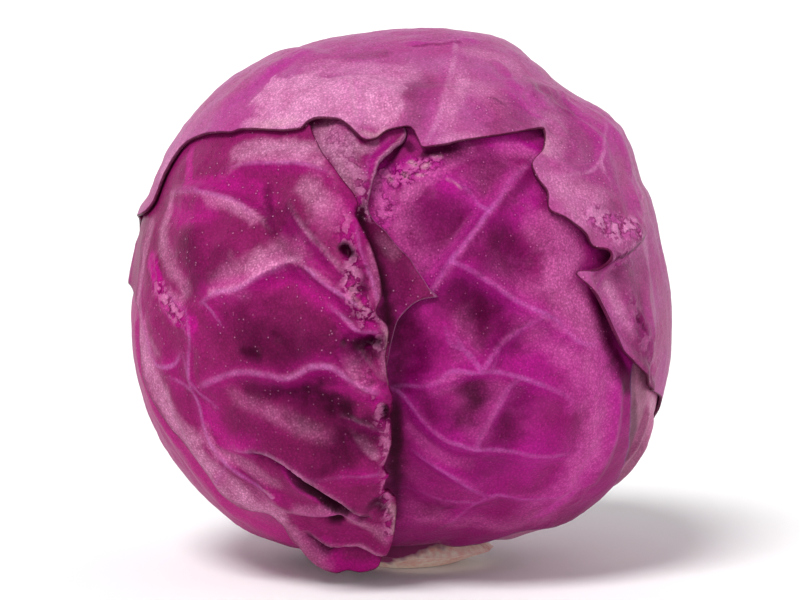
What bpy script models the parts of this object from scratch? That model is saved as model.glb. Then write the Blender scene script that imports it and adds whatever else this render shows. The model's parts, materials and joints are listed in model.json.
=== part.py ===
"""A red cabbage head standing on its cut stem.

A closed heart is wrapped in six outer leaves, each a thin closed solid of its own, over a pale cut
stem. All leaves follow one rounded head: a leaf lies on the leaves under it and steps up over their
margins. Named lengths are in millimetres, angles in degrees, and meshes are made in metres.
"""
import math

import bmesh
import bpy
import numpy as np
from mathutils.geometry import delaunay_2d_cdt

MM = 0.001

# Driving sizes of the head
HEAD_CENTRE = np.array((-1.5, 0.0, 72.8))  # from the middle of the stem's flat cut
MEAN_RADIUS = 75.5
FRONT_DEPTH = 73.5
BACK_DEPTH = 72.5
LEAF_THICKNESS = 0.8
LEAF_PITCH = 1.5  # from one leaf's outside to the next one's
HEART_GAP = 0.7  # between the heart and the innermost leaves
STEP_WIDTH = 7.0  # in which a leaf climbs over a lower margin
CLEAR_OF_MARGIN = 3.0  # relief starts this far outside an upper leaf
RELIEF_FADE = 6.0

# Where the head is looked at from when a place on it is given by what is seen
VIEW_DISTANCE = 900.0
VIEW_RISE = 5.0

# Radius of the head's outline against its bearing, counted from the right and upwards
OUTLINE = ((0, 73.0), (12, 71.6), (25, 73.2), (39, 78.2), (51, 72.8), (66, 76.6), (80, 75.8),
           (95, 74.0), (112, 74.8), (132, 75.4), (150, 74.2), (160, 72.8), (172, 73.8), (190, 75.6),
           (212, 76.2), (232, 76.6), (246, 74.4), (260, 70.8), (275, 69.0), (286, 69.2), (297, 73.0),
           (308, 75.4), (322, 77.4), (332, 77.6), (342, 75.0), (360, 73.0))
OUTLINE_SOFTNESS = 4.0  # degrees

# The seam in front, where the right leaf dips under the left one
SEAM = ((-5, 47), (-4, 36), (-3, 26), (2, 15), (0, 4), (-1, -8), (1, -24), (1, -42), (0, -60))
SEAM_DEPTH = 5.0
SEAM_WIDTH = 13.0
HEART_SEAM_WIDTH = 30.0
HEART_HOLLOW_WIDTH = 48.0

# The hollow around the stem
BASE_HOLLOW = 10.0
BASE_HOLLOW_WIDTH = 36.0

# The cut stem: rings of (height, radius, shift to the right), irregular as cut by hand
STEM_RINGS = ((0.0, 12.6, 0.0), (4.2, 20.5, 4.0), (7.4, 17.0, 2.5), (11.0, 12.0, 0.0))
STEM_SIDES = 14
STEM_WANDER = (1.0, 0.97, 1.03, 1.0, 0.95, 0.98, 1.04, 1.02, 0.96, 1.0, 1.03, 0.97, 0.99, 1.02)
STEM_BEVEL = 0.7


def seen(*points):
    """Directions from the head's centre to places seen x to the right of it and z above it."""
    rise = math.radians(VIEW_RISE)
    eye = VIEW_DISTANCE * np.array((0.0, -math.cos(rise), math.sin(rise)))
    up = np.array((0.0, math.sin(rise), math.cos(rise)))
    out = []
    for x, z, *_ in points:
        ray = unit(np.array((x, 0.0, 0.0)) + z * up - eye)
        along = -eye @ ray
        inside = along ** 2 - (eye @ eye - MEAN_RADIUS ** 2)
        out.append(unit(eye + (along - math.sqrt(max(inside, 0.0))) * ray))
    return out


def at(*places):
    """Directions by azimuth, from the front towards the right, and elevation."""
    out = []
    for azimuth, elevation in places:
        a, e = math.radians(azimuth), math.radians(elevation)
        out.append(np.array((math.sin(a) * math.cos(e), -math.cos(a) * math.cos(e), math.sin(e))))
    return out


def unit(v):
    return v / np.linalg.norm(v, axis=-1, keepdims=True)


def smooth(t):
    t = np.clip(t, 0.0, 1.0)
    return t * t * (3.0 - 2.0 * t)


def bump(t):
    """A soft hill, 1 in the middle and 0 from |t| = 1 on."""
    return np.maximum(1.0 - t * t, 0.0) ** 2


def curve(points, spacing, closed=False):
    """A smooth line through directions, with added values carried along, at about one spacing."""
    p = np.array(points, dtype=float)
    count = len(p)
    last = count if closed else count - 1
    out = []
    for i in range(last):
        if closed:
            a, b, c, d = (p[(i + k) % count] for k in (-1, 0, 1, 2))
        else:
            a, b, c, d = (p[min(max(i + k, 0), count - 1)] for k in (-1, 0, 1, 2))
        steps = max(1, round(np.linalg.norm(c[:3] - b[:3]) * MEAN_RADIUS / spacing))
        for t in np.arange(steps) / steps:
            out.append(b + 0.5 * t * (c - a + t * (2 * a - 5 * b + 4 * c - d + t * (3 * (b - c) + d - a))))
    if not closed:
        out.append(p[-1])
    out = np.array(out)
    out[:, :3] = unit(out[:, :3])
    return out


def to_line(d, line, closed=False):
    """Distance from directions d to a line on the head, and the line's value at the nearest place."""
    a = line
    b = np.roll(line, -1, axis=0)
    if not closed:
        a, b = a[:-1], b[:-1]
    best = np.full(len(d), np.inf)
    value = np.zeros(len(d))
    for start, end in zip(a, b):
        run = end[:3] - start[:3]
        t = np.clip((d - start[:3]) @ run / max(run @ run, 1e-12), 0.0, 1.0)
        far = np.linalg.norm(d - start[:3] - t[:, None] * run, axis=1) * MEAN_RADIUS
        nearer = far < best
        best[nearer] = far[nearer]
        if line.shape[1] > 3:
            value[nearer] = (start[3] + t * (end[3] - start[3]))[nearer]
    return best, value


def make_rim():
    """The outline's radius at each whole degree of bearing, softened."""
    bearings, radii = zip(*OUTLINE)
    rim = np.interp(np.arange(360), bearings, radii)
    reach = np.arange(-15, 16)
    weights = np.exp(-(reach / OUTLINE_SOFTNESS) ** 2 / 2)
    rim = sum(w * np.roll(rim, k) for k, w in zip(reach, weights)) / weights.sum()
    return np.append(rim, rim[0])


RIM = make_rim()
SEAM_LINE = curve(seen(*SEAM), 4.0)
STEM_DIRECTION = unit(np.array((-HEAD_CENTRE[0], 0.0, -HEAD_CENTRE[2])))


def head_radius(d, seam_width=SEAM_WIDTH, hollow_width=BASE_HOLLOW_WIDTH):
    """From the head's centre to the outside of a leaf that lies on the heart."""
    bearing = np.degrees(np.arctan2(d[:, 2], d[:, 0])) % 360.0
    rim = np.interp(bearing, np.arange(361), RIM)
    depth = np.where(d[:, 1] < 0.0, FRONT_DEPTH, BACK_DEPTH)
    radius = depth + (rim - depth) * (d[:, 0] ** 2 + d[:, 2] ** 2)
    seam, _ = to_line(d, SEAM_LINE)
    stem = np.linalg.norm(d - STEM_DIRECTION, axis=1) * MEAN_RADIUS
    return radius - SEAM_DEPTH * bump(seam / seam_width) - BASE_HOLLOW * bump(stem / hollow_width)


class Flat:
    """The plane on which a leaf is laid out: the head seen from the far side of the leaf's middle."""

    def __init__(self, middle):
        self.middle = middle
        self.across = unit(np.cross((0.0, 1.0, 0.0) if abs(middle[1]) < 0.9 else (0.0, 0.0, 1.0), middle))
        self.along = np.cross(middle, self.across)

    def lay(self, d):
        return np.stack((d @ self.across, d @ self.along), axis=1) / (1.001 + d @ self.middle)[:, None]


def inside(points, loop):
    """Which flat points lie inside a closed flat line."""
    x, y = points[:, 0], points[:, 1]
    hit = np.zeros(len(points), dtype=bool)
    for (x0, y0), (x1, y1) in zip(loop, np.roll(loop, -1, axis=0)):
        if y0 != y1:
            crosses = (y0 > y) != (y1 > y)
            hit ^= crosses & (x < (x1 - x0) * (y - y0) / (y1 - y0) + x0)
    return hit


class Leaf:
    """A leaf by its outline, the ridges on it, and the spacing of its mesh in front and behind."""

    def __init__(self, name, colour, middle, outline, ridges=(), front=4.7, back=8.0, edge=4.0):
        self.name, self.colour = name, colour
        self.front, self.back = front, back
        self.outline = curve(outline, edge, closed=True)
        self.flat = Flat(unit(middle))
        self.loop = self.flat.lay(self.outline)
        self.ridges = [(curve([np.append(d, p[2]) for d, p in zip(seen(*points), points)], 3.0), width)
                       for width, points in ridges]

    def outside(self, d):
        """Distance beyond the leaf's margin, negative on the leaf."""
        away, _ = to_line(d, self.outline, closed=True)
        return np.where(inside(self.flat.lay(d), self.loop), -away, away)

    def covers(self, d):
        """1 where an upper leaf must lie on this one, falling to 0 outside its margin."""
        return 1.0 - smooth((self.outside(d) - 1.0) / STEP_WIDTH)


def even_directions(spacing):
    """Directions spread evenly over the head, one spacing apart."""
    count = int(4.0 * math.pi * MEAN_RADIUS ** 2 / (0.87 * spacing ** 2))
    i = np.arange(count) + 0.5
    z = 1.0 - 2.0 * i / count
    turn = i * math.pi * (1.0 + math.sqrt(5.0))
    ring = np.sqrt(1.0 - z * z)
    return np.stack((ring * np.cos(turn), z, ring * np.sin(turn)), axis=1)


def leaf_mesh(leaf, lower, upper):
    """The leaf's outside as directions and triangles, and its distance from the head's centre."""
    fine, coarse = even_directions(leaf.front), even_directions(leaf.back)
    inner = []
    for spots, spacing, wanted in ((fine, leaf.front, True), (coarse, leaf.back, False)):
        in_front = spots[:, 1] < 0.05
        spots = spots[in_front == wanted]
        inner.append(spots[leaf.outside(spots) < -0.6 * spacing])
    inner = np.concatenate(inner)
    flat = leaf.flat.lay(np.concatenate((leaf.outline, inner)))
    count = len(leaf.outline)
    edges = [(i, (i + 1) % count) for i in range(count)]
    points, _, faces, origins, _, _ = delaunay_2d_cdt([tuple(p) for p in flat], edges, [], 1, 1e-7)
    all_directions = np.concatenate((leaf.outline, inner))
    d = np.array([all_directions[o[0]] for o in origins])
    radius = head_radius(d)
    for other in lower:
        radius += LEAF_PITCH * other.covers(d)
    relief = np.zeros(len(d))
    for line, width in leaf.ridges:
        away, height = to_line(d, line)
        relief += height * bump(away / width)
    for other in upper:
        relief *= smooth((other.outside(d) - CLEAR_OF_MARGIN) / RELIEF_FADE)
    return d, faces, radius + np.maximum(relief, 0.0)


def linear(colour):
    """A six-figure colour as shown on a screen, as the light it stands for."""
    parts = (int(colour[i:i + 2], 16) / 255.0 for i in (0, 2, 4))
    return [c / 12.92 if c <= 0.04045 else ((c + 0.055) / 1.055) ** 2.4 for c in parts] + [1.0]


def material(name, colour, roughness):
    made = bpy.data.materials.new(name)
    made.use_nodes = True
    shader = made.node_tree.nodes["Principled BSDF"]
    shader.inputs["Base Color"].default_value = linear(colour)
    shader.inputs["Roughness"].default_value = roughness
    shader.inputs["Metallic"].default_value = 0.0
    made.diffuse_color = linear(colour)
    return made


def new_object(name, mesh, colour, roughness, collection):
    mesh.materials.append(material(name, colour, roughness))
    made = bpy.data.objects.new(name, mesh)
    collection.objects.link(made)
    return made


def build_leaf(leaf, lower, upper, collection):
    d, faces, radius = leaf_mesh(leaf, lower, upper)
    mesh = bpy.data.meshes.new(leaf.name)
    mesh.from_pydata(((HEAD_CENTRE + d * radius[:, None]) * MM).tolist(), [], faces)
    made = new_object(leaf.name, mesh, leaf.colour, 0.42, collection)
    shell = made.modifiers.new("thickness", "SOLIDIFY")
    shell.thickness = LEAF_THICKNESS * MM
    shell.offset = -1.0
    return made


def build_heart(collection):
    """The closed inner head, a ball drawn in under the seam and around the stem."""
    bm = bmesh.new()
    bmesh.ops.create_icosphere(bm, subdivisions=4, radius=1.0)
    d = unit(np.array([v.co for v in bm.verts]))
    radius = head_radius(d, HEART_SEAM_WIDTH, HEART_HOLLOW_WIDTH) - LEAF_THICKNESS - HEART_GAP
    for vertex, place in zip(bm.verts, (HEAD_CENTRE + d * radius[:, None]) * MM):
        vertex.co = place
    mesh = bpy.data.meshes.new("heart")
    bm.to_mesh(mesh)
    bm.free()
    return new_object("heart", mesh, "72305c", 0.45, collection)


def build_stem(collection):
    """The cut stem: a flat face to stand on, widening to where the leaves leave it."""
    bm = bmesh.new()
    rings = []
    for height, radius, shift in STEM_RINGS:
        ring = []
        for side, wander in enumerate(STEM_WANDER):
            turn = 2.0 * math.pi * side / STEM_SIDES
            ring.append(bm.verts.new(((shift + radius * wander * math.cos(turn)) * MM,
                                      radius * wander * math.sin(turn) * MM, height * MM)))
        rings.append(ring)
    edges = [bm.edges.new((ring[i], ring[(i + 1) % STEM_SIDES])) for ring in rings for i in range(STEM_SIDES)]
    for k in range(len(rings) - 1):
        bmesh.ops.bridge_loops(bm, edges=edges[k * STEM_SIDES:(k + 2) * STEM_SIDES])
    bottom = bm.faces.new(rings[0])
    bm.faces.new(rings[-1])
    bmesh.ops.recalc_face_normals(bm, faces=bm.faces)
    bmesh.ops.bevel(bm, geom=list(bottom.edges), offset=STEM_BEVEL * MM, segments=1, affect="EDGES")
    mesh = bpy.data.meshes.new("stem")
    bm.to_mesh(mesh)
    bm.free()
    return new_object("stem", mesh, "cdb5a4", 0.6, collection)


def make_leaves():
    """The six leaves from the innermost out, with their outlines, and ridges as (x, z, height)."""
    lower_right = Leaf(
        "lower_right_leaf", "8b3a66", at((95, -30))[0],
        seen((44, 20), (40, -5), (38, -30), (36, -50), (32, -62))
        + at((35, -71), (75, -75), (110, -75), (150, -72), (168, -60), (176, -40), (172, -15),
             (160, 5), (140, 16), (115, 20), (95, 20), (70, 22)),
        front=7.6, back=8.2, edge=5.0)
    lower_left = Leaf(
        "lower_left_leaf", "a53f86", at((-110, -30))[0],
        seen((-46, 12), (-38, -10), (-32, -30), (-26, -46), (-22, -58))
        + at((-28, -71), (-75, -75), (-120, -75), (-160, -72), (-178, -60), (168, -45), (166, -20),
             (172, 2), (-170, 14), (-145, 20), (-115, 20), (-85, 18), (-60, 16)),
        front=7.6, back=8.2, edge=5.0)
    front_right = Leaf(
        "front_right_leaf", "8b2a68", seen((28, -8))[0],
        seen((-12.5, 52.5), (0, 58), (14, 56), (33, 58), (48, 56.5), (60, 41.5), (66.5, 22), (69.5, 3),
             (68.5, -11), (63.5, -20), (61, -27), (59, -36.5), (54, -50), (50, -56.5), (43, -61.5),
             (33, -66.5))
        + at((32, -70), (20, -74), (0, -75), (-15, -72))
        + seen((-8, -64), (-8, -48), (-9, -27),
             (-9, -5), (-8, 15), (-13, 30), (-14, 42)),
        ridges=(
            (7, ((36, 38, 0.4), (28, 28.5, 1.2), (19.5, 17.5, 1.2), (11, 5.5, 1.0), (7.5, 0, 0.3))),
            (6, ((24.5, 24.5, 0.8), (15.5, 34, 0.6), (11, 35.5, 0.2))),
            (7, ((14.5, 10.5, 0.6), (25, 5, 1.0), (36.5, -3, 1.0), (49.5, -11.5, 0.8), (56, -13, 0.3))),
            (7, ((40, -4, 0.4), (29.5, -11.5, 0.9), (22, -19.5, 1.0), (11, -23.5, 0.8), (3, -27, 0.2))),
            (6, ((22, -19.5, 0.6), (36.5, -22.5, 0.8), (47, -27.5, 0.4))),
            (7, ((4, -32, 0.4), (10, -38.5, 1.0), (21.5, -41.5, 1.3), (40.5, -42.5, 1.0), (52, -41, 0.3))),
            (6, ((32.5, -22.5, 0.5), (26, -32.5, 0.9), (21, -41.5, 0.9))),
            (7, ((6, -47, 0.4), (13, -49.5, 0.9), (27.5, -56.5, 0.8), (47, -52.5, 0.3))),
            (12, ((31, -32, 1.6), (43, -34, 1.8), (50, -20, 1.2))),
            (10, ((27, -4, 1.2), (38, 12, 1.6), (48, 4, 1.0))),
        ))
    tucked = Leaf(
        "tucked_leaf", "8a2f66", seen((-6, 10))[0],
        seen((-6, 58), (0, 49.5), (-3, 45), (-5.5, 41.5), (-8, 36), (-9.5, 28), (-7.5, 23.5),
             (-4.5, 21), (-1, 16.5), (3, 12.5), (7, 7), (10.5, 1), (7, 0), (3.5, -1.5), (-0.5, -6),
             (-2.5, -12.5), (-5, -22), (-12, -26), (-24, -8), (-26, 18), (-27, 40), (-24, 56), (-14, 60)),
        ridges=(
            (8, ((-16, 47, 0.6), (-10, 40, 1.6), (-9.5, 30, 1.4))),
            (6, ((-4, 18, 0.5), (1, 11, 1.2), (5, 3, 1.2), (1, -4, 0.8))),
        ), front=4.2)
    front_left = Leaf(
        "front_left_leaf", "7d2256", seen((-36, -6))[0],
        seen((-27, 60), (-25, 48.5), (-23, 44), (-21, 40), (-18, 36), (-15.5, 32.5), (-12.5, 29),
             (-11.5, 26), (-12, 23.5), (-10.5, 20), (-8, 15), (-6, 8.5), (-5, 1.5), (-6.5, -3.5),
             (-3.5, -7.5), (-3.5, -12), (-3, -24), (-2, -28), (-3, -36), (-2.5, -42), (-4.5, -47.5),
             (-3, -50), (-4.5, -54.5), (-1.5, -58.5), (-1, -63), (-2, -66.5), (-6, -70), (-14, -71.5),
             (-22, -70.5), (-26.5, -65), (-31.5, -58.5), (-40, -54), (-47, -49), (-51, -44),
             (-57, -37), (-61, -32), (-67, -22), (-71, -9))
        + at((-100, -2), (-120, 2), (-140, 12), (-148, 28), (-138, 44), (-110, 56), (-70, 64), (-45, 62)),
        ridges=(
            (10, ((-21, 42, 0.8), (-15, 33, 2.0), (-12, 26, 3.6), (-10, 19, 4.2), (-6, 8, 4.6),
                  (-6, 1, 4.6), (-4, -10, 4.4), (-4, -24, 4.2), (-3.5, -40, 4.0), (-5, -53, 4.0),
                  (-3, -62, 3.4), (-8, -69, 2.6))),
            (8, ((-54, 0, 0.4), (-45.5, 3.5, 1.4), (-35, 9.5, 2.2), (-24.5, 9, 2.6), (-14, 1, 2.0))),
            (8, ((-58, -25, 0.8), (-47.5, -21, 1.6), (-30, -21, 1.6), (-20, -19, 1.8), (-9, -23, 1.2))),
            (7, ((-43.5, -46.5, 0.8), (-53.5, -38, 1.2), (-58.5, -22, 1.4), (-62, -5, 1.2), (-66, 10, 0.8))),
            (7, ((-45.5, -44, 0.8), (-32, -42, 2.4), (-22, -45, 3.4), (-14, -52, 3.2), (-8, -58, 1.6))),
            (6, ((-34, -54, 0.8), (-24.5, -57.5, 1.8), (-11, -61, 1.8))),
            (9, ((-27, -66, 1.4), (-20, -69.5, 4.0), (-14, -71.5, 5.4), (-6, -70.5, 3.6))),
            (6, ((-58, 34.5, 0.2), (-43, 38, 0.7), (-28, 37, 0.5))),
            (7, ((-65, 26.5, 0.3), (-51.5, 30, 0.8), (-41.5, 24, 0.9), (-37, 18, 0.4))),
            (12, ((-34, -4, 1.2), (-24, -8, 1.6), (-18, -30, 1.2))),
        ))
    top = Leaf(
        "top_leaf", "b3598d", at((120, 50))[0],
        seen((-72, 24.5), (-69, 30.5), (-65.5, 37), (-60.5, 43.5), (-55, 46), (-47.5, 46.5), (-44, 47.5),
             (-36, 47.5), (-28, 47), (-25.5, 49), (-22.5, 50), (-18, 50), (-14, 48.5), (-10.5, 46.5),
             (-7, 47.5), (-4, 49.5), (0, 49.5), (3, 48.5), (5, 45), (6.5, 42.5), (12.5, 43), (22, 45),
             (31.5, 46.5), (40, 48), (40, 42.5), (37, 38), (38.5, 33.5), (41, 30), (41, 25), (45.5, 22),
             (49.5, 19), (53.5, 15), (56.5, 12), (55, 8.5), (49, 8), (52.5, 2.5), (56.5, -3),
             (59.5, -12.5), (62.5, -16.5), (66, -20.5), (69, -24.5), (72, -28))
        + at((105, -30), (125, -36), (145, -46), (162, -58), (178, -67), (-160, -60), (-148, -48),
             (-132, -30), (-118, -8), (-106, 8)),
        ridges=(
            (5, ((-66, 37, 0.2), (-47.5, 46.5, 0.8), (-28, 47, 0.9), (-20, 50, 1.4), (-8, 47, 1.2),
                 (1, 49, 1.6), (6.5, 42.5, 1.6), (22, 45, 1.2), (40, 47, 1.6), (38, 36, 1.6),
                 (41, 27, 1.8), (50, 18, 1.8), (56.5, 12, 2.4), (52, 9, 2.4), (52.5, 2.5, 2.6),
                 (59.5, -12.5, 2.4), (69, -24.5, 1.6))),
            (7, ((15.5, 71, 0.6), (13, 61.5, 1.2), (9.5, 50, 0.6))),
            (8, ((55, 53.5, 0.6), (62.5, 40.5, 1.4), (68.5, 28, 1.0))),
            (7, ((67.5, 22, 1.0), (60, 17, 1.8), (53, 21, 1.2))),
            (9, ((62, 6, 1.2), (64, -6, 1.8), (68, -16, 1.2))),
        ), front=4.8, back=8.2)
    return (lower_right, lower_left, front_right, tucked, front_left, top)


def main():
    for old in list(bpy.data.objects):
        bpy.data.objects.remove(old, do_unlink=True)
    collection = bpy.data.collections.new("red cabbage head")
    bpy.context.scene.collection.children.link(collection)
    build_stem(collection)
    build_heart(collection)
    leaves = make_leaves()
    for k, leaf in enumerate(leaves):
        build_leaf(leaf, leaves[:k], leaves[k + 1:], collection)


main()
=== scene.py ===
# %% [markdown]
# # A red cabbage head
#
# The object is a red cabbage head, about 150 mm wide, standing on its cut stem. It is a closed heart
# wrapped in six outer leaves. The solid model gives every piece its place and main shape, and this
# lesson dresses it: each leaf is made again as a fine sheet with its veins, folds and torn margins,
# and gets a waxy skin made of shader nodes.
#
# Lengths are in millimetres until a mesh is made, because leaf details are easiest to think of that way.

# %% Start with the solid model
import json
import math

import bpy
import numpy as np
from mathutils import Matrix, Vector, noise
from mathutils.geometry import delaunay_2d_cdt

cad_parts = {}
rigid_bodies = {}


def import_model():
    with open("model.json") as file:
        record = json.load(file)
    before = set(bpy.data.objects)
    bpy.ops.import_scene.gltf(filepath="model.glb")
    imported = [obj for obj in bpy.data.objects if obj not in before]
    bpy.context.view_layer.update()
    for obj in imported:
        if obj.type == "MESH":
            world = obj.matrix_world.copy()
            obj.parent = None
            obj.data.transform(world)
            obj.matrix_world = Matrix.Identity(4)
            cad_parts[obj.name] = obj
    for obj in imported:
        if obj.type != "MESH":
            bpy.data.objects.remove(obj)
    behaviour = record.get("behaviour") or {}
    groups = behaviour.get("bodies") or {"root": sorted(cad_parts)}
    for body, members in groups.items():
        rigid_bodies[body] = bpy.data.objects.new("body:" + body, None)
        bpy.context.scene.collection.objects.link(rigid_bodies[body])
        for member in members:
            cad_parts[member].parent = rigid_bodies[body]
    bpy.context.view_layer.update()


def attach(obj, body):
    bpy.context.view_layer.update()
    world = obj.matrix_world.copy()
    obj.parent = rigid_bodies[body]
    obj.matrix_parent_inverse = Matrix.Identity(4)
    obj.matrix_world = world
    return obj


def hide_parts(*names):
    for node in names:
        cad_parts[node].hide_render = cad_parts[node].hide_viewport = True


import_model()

MM = 0.001

# %% [markdown]
# ## Directions and soft steps
#
# Every place on the head is given as a direction from its centre. A leaf detail is read off as "so far
# right of the centre and so far above it", as a viewer in front sees it, and turned into a direction
# once. Smooth steps and soft hills then build all the relief, because a leaf has no sharp corners.

# %% Helpers for directions
HEAD_CENTRE = np.array((-1.5, 0.0, 72.8))
MEAN_RADIUS = 76.8
VIEW_DISTANCE = 900.0
VIEW_RISE = math.radians(5.0)


def unit(v):
    return v / np.linalg.norm(v, axis=-1, keepdims=True)


def smooth(t):
    t = np.clip(t, 0.0, 1.0)
    return t * t * (3.0 - 2.0 * t)


def bump(t):
    """A soft hill, 1 in the middle and 0 from |t| = 1 on."""
    return np.maximum(1.0 - t * t, 0.0) ** 2


def seen(*points):
    """Directions to places seen x to the right of the head's centre and z above it."""
    eye = VIEW_DISTANCE * np.array((0.0, -math.cos(VIEW_RISE), math.sin(VIEW_RISE)))
    up = np.array((0.0, math.sin(VIEW_RISE), math.cos(VIEW_RISE)))
    out = []
    for x, z, *_ in points:
        ray = unit(np.array((x, 0.0, 0.0)) + z * up - eye)
        along = -eye @ ray
        inside_ball = along ** 2 - (eye @ eye - MEAN_RADIUS ** 2)
        out.append(unit(eye + (along - math.sqrt(max(inside_ball, 0.0))) * ray))
    return out


def at(*places):
    """Directions by azimuth, from the front towards the right, and elevation, in degrees."""
    out = []
    for azimuth, elevation, *_ in places:
        a, e = math.radians(azimuth), math.radians(elevation)
        out.append(np.array((math.sin(a) * math.cos(e), -math.cos(a) * math.cos(e), math.sin(e))))
    return out


print("straight in front:", seen((0, 0))[0].round(2), "behind, 30 degrees up:", at((180, 30))[0].round(2))

# %% [markdown]
# ## Lines on the head
#
# Margins, veins, ridges and creases are all lines on the head. A few read-off points are joined by a
# smooth curve. Blender's own curve objects could do that, but the points are wanted as plain numbers.

# %% A smooth line
def curve(points, spacing, closed=False):
    """A smooth line through directions, with added values carried along, at about one spacing."""
    p = np.array(points, dtype=float)
    count = len(p)
    out = []
    for i in range(count if closed else count - 1):
        if closed:
            a, b, c, d = (p[(i + k) % count] for k in (-1, 0, 1, 2))
        else:
            a, b, c, d = (p[min(max(i + k, 0), count - 1)] for k in (-1, 0, 1, 2))
        steps = max(1, round(np.linalg.norm(c[:3] - b[:3]) * MEAN_RADIUS / spacing))
        for t in np.arange(steps) / steps:
            out.append(b + 0.5 * t * (c - a + t * (2 * a - 5 * b + 4 * c - d + t * (3 * (b - c) + d - a))))
    if not closed:
        out.append(p[-1])
    out = np.array(out)
    out[:, :3] = unit(out[:, :3])
    return out


def value_line(points, spacing=1.5, places=seen):
    """A line through places that carries each point's third number along."""
    return curve([np.append(d, p[2:3]) for d, p in zip(places(*points), points)], spacing)


print("a line of 3 places becomes one of", len(value_line(((-20, 0, 1), (0, 10, 1), (20, 0, 1)))), "points")

# %% [markdown]
# ## How far from a line?
#
# One function measures how far every mesh point lies from a line and on which side, and reads the value
# that the line carries there. All the relief and all the tints are made with it. Most points are far
# from most lines, so only those near the line, and then near each short piece of it, are measured.

# %% Distance to a line
A_LITTLE_MORE, NEARLY_NOTHING = 1.1, 1e-12


def to_line(d, line, reach, closed=False):
    """Distance from directions d to a line, at most reach, its value there, and the side: 1 is left."""
    a, b = line, np.roll(line, -1, axis=0)
    if not closed:
        a, b = a[:-1], b[:-1]
    best = np.full(len(d), float(reach))
    value = np.zeros(len(d))
    side = np.ones(len(d))
    middle_of_all = line[:, :3].mean(axis=0)
    margin = A_LITTLE_MORE * reach / MEAN_RADIUS
    spread = np.linalg.norm(line[:, :3] - middle_of_all, axis=1).max() + margin
    about = np.nonzero(((d - middle_of_all) ** 2).sum(axis=1) < spread ** 2)[0]
    close = d[about]
    for start, end in zip(a, b):
        run = end[:3] - start[:3]
        middle = (start[:3] + end[:3]) / 2
        span = np.linalg.norm(run) / 2 + margin
        picked = ((close - middle) ** 2).sum(axis=1) < span ** 2
        near = about[picked]
        if not len(near):
            continue
        q = close[picked] - start[:3]
        t = np.clip(q @ run / max(run @ run, NEARLY_NOTHING), 0.0, 1.0)
        far = np.linalg.norm(q - t[:, None] * run, axis=1) * MEAN_RADIUS
        closer = far < best[near]
        hit = near[closer]
        best[hit] = far[closer]
        side[hit] = np.sign(q[closer] @ np.cross(middle, run) + NEARLY_NOTHING)
        if line.shape[1] > 3:
            value[hit] = start[3] + t[closer] * (end[3] - start[3])
    return best, value, side


upright = value_line(((0, -20, 1), (0, 20, 1)))
print("10 mm right of an upright line:", to_line(np.array(seen((10, 0))), upright, 20.0)[0].round(1), "mm")

# %% [markdown]
# ## The rounded head
#
# The head is not a ball. Its outline was measured all round, it is a little flatter from front to back,
# it dips along the seam between the two front leaves, and it is hollow where the leaves meet the stem.

# %% The head's form
FRONT_DEPTH, BACK_DEPTH = 73.5, 72.5
# bearing in degrees, 0 at the right and 90 at the top, and radius in mm
OUTLINE = (
    (0, 73.0), (12, 71.6), (25, 73.2), (39, 78.2), (51, 72.8), (66, 76.6), (80, 75.8), (95, 74.0),
    (112, 74.8), (132, 75.4), (150, 74.2), (160, 72.6), (172, 72.6), (181, 73.4), (190, 75.0),
    (212, 76.2), (232, 76.6), (246, 74.4), (260, 70.8), (275, 69.0), (286, 69.2), (297, 73.0),
    (308, 75.4), (322, 77.4), (332, 77.6), (342, 75.0), (360, 73.0))
OUTLINE_SOFTNESS = 4.0  # degrees
SEAM = curve(seen((-5, 47), (-4, 36), (-3, 26), (2, 15), (0, 4), (-1, -8), (1, -24), (1, -42), (0, -60)),
             spacing=4.0)
SEAM_DEPTH, SEAM_WIDTH = 5.0, 13.0
BASE_HOLLOW, BASE_HOLLOW_WIDTH = 10.0, 36.0
STEM_DIRECTION = unit(np.array((-HEAD_CENTRE[0], 0.0, -HEAD_CENTRE[2])))


def make_rim():
    """The outline's radius at every degree, with its corners rounded."""
    bearings, radii = zip(*OUTLINE)
    rim = np.interp(np.arange(360), bearings, radii)
    reach = np.arange(-15, 16)
    weights = np.exp(-(reach / OUTLINE_SOFTNESS) ** 2 / 2)
    rim = sum(w * np.roll(rim, k) for k, w in zip(reach, weights)) / weights.sum()
    return np.append(rim, rim[0])


RIM = make_rim()


def head_radius(d):
    """From the head's centre to the outside of a leaf that lies on the heart."""
    bearing = np.degrees(np.arctan2(d[:, 2], d[:, 0])) % 360.0
    rim = np.interp(bearing, np.arange(361), RIM)
    depth = np.where(d[:, 1] < 0.0, FRONT_DEPTH, BACK_DEPTH)
    radius = depth + (rim - depth) * (d[:, 0] ** 2 + d[:, 2] ** 2)
    seam = to_line(d, SEAM, SEAM_WIDTH)[0]
    stem = np.linalg.norm(d - STEM_DIRECTION, axis=1) * MEAN_RADIUS
    return radius - SEAM_DEPTH * bump(seam / SEAM_WIDTH) - BASE_HOLLOW * bump(stem / BASE_HOLLOW_WIDTH)


print("outline radius", round(RIM.min(), 1), "to", round(RIM.max(), 1), "mm")

# %% [markdown]
# ## One leaf's description
#
# A leaf is its margin, a closed line, and what stands on it. A ridge is soft on both sides, and a
# valley is a ridge of negative height. A pleat rises softly on its left side and drops at once on its
# right, so that it throws a shadow. A crumple is a band of small wrinkles. Veins are narrow, and colour
# the leaf as well. Tints say where the leaf is paler, darker or brighter: some are the skin's own colour,
# and some are painted highlight on lit folds and painted shade in slits and hollows. Leaves are listed
# from the innermost out, and each one climbs over the margins of those below it.

# %% The leaf class
FINE, COARSE = ((0.75, 2.2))  # mm between mesh points in front and elsewhere
MARGIN_SPACING = FINE * 1.2
# bloom is wax bloom and painted highlight, deep is darker skin and painted shade, and gap is painted shade
TINTS = ("bloom", "flush", "deep", "scar", "gap", "crinkle")


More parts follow.
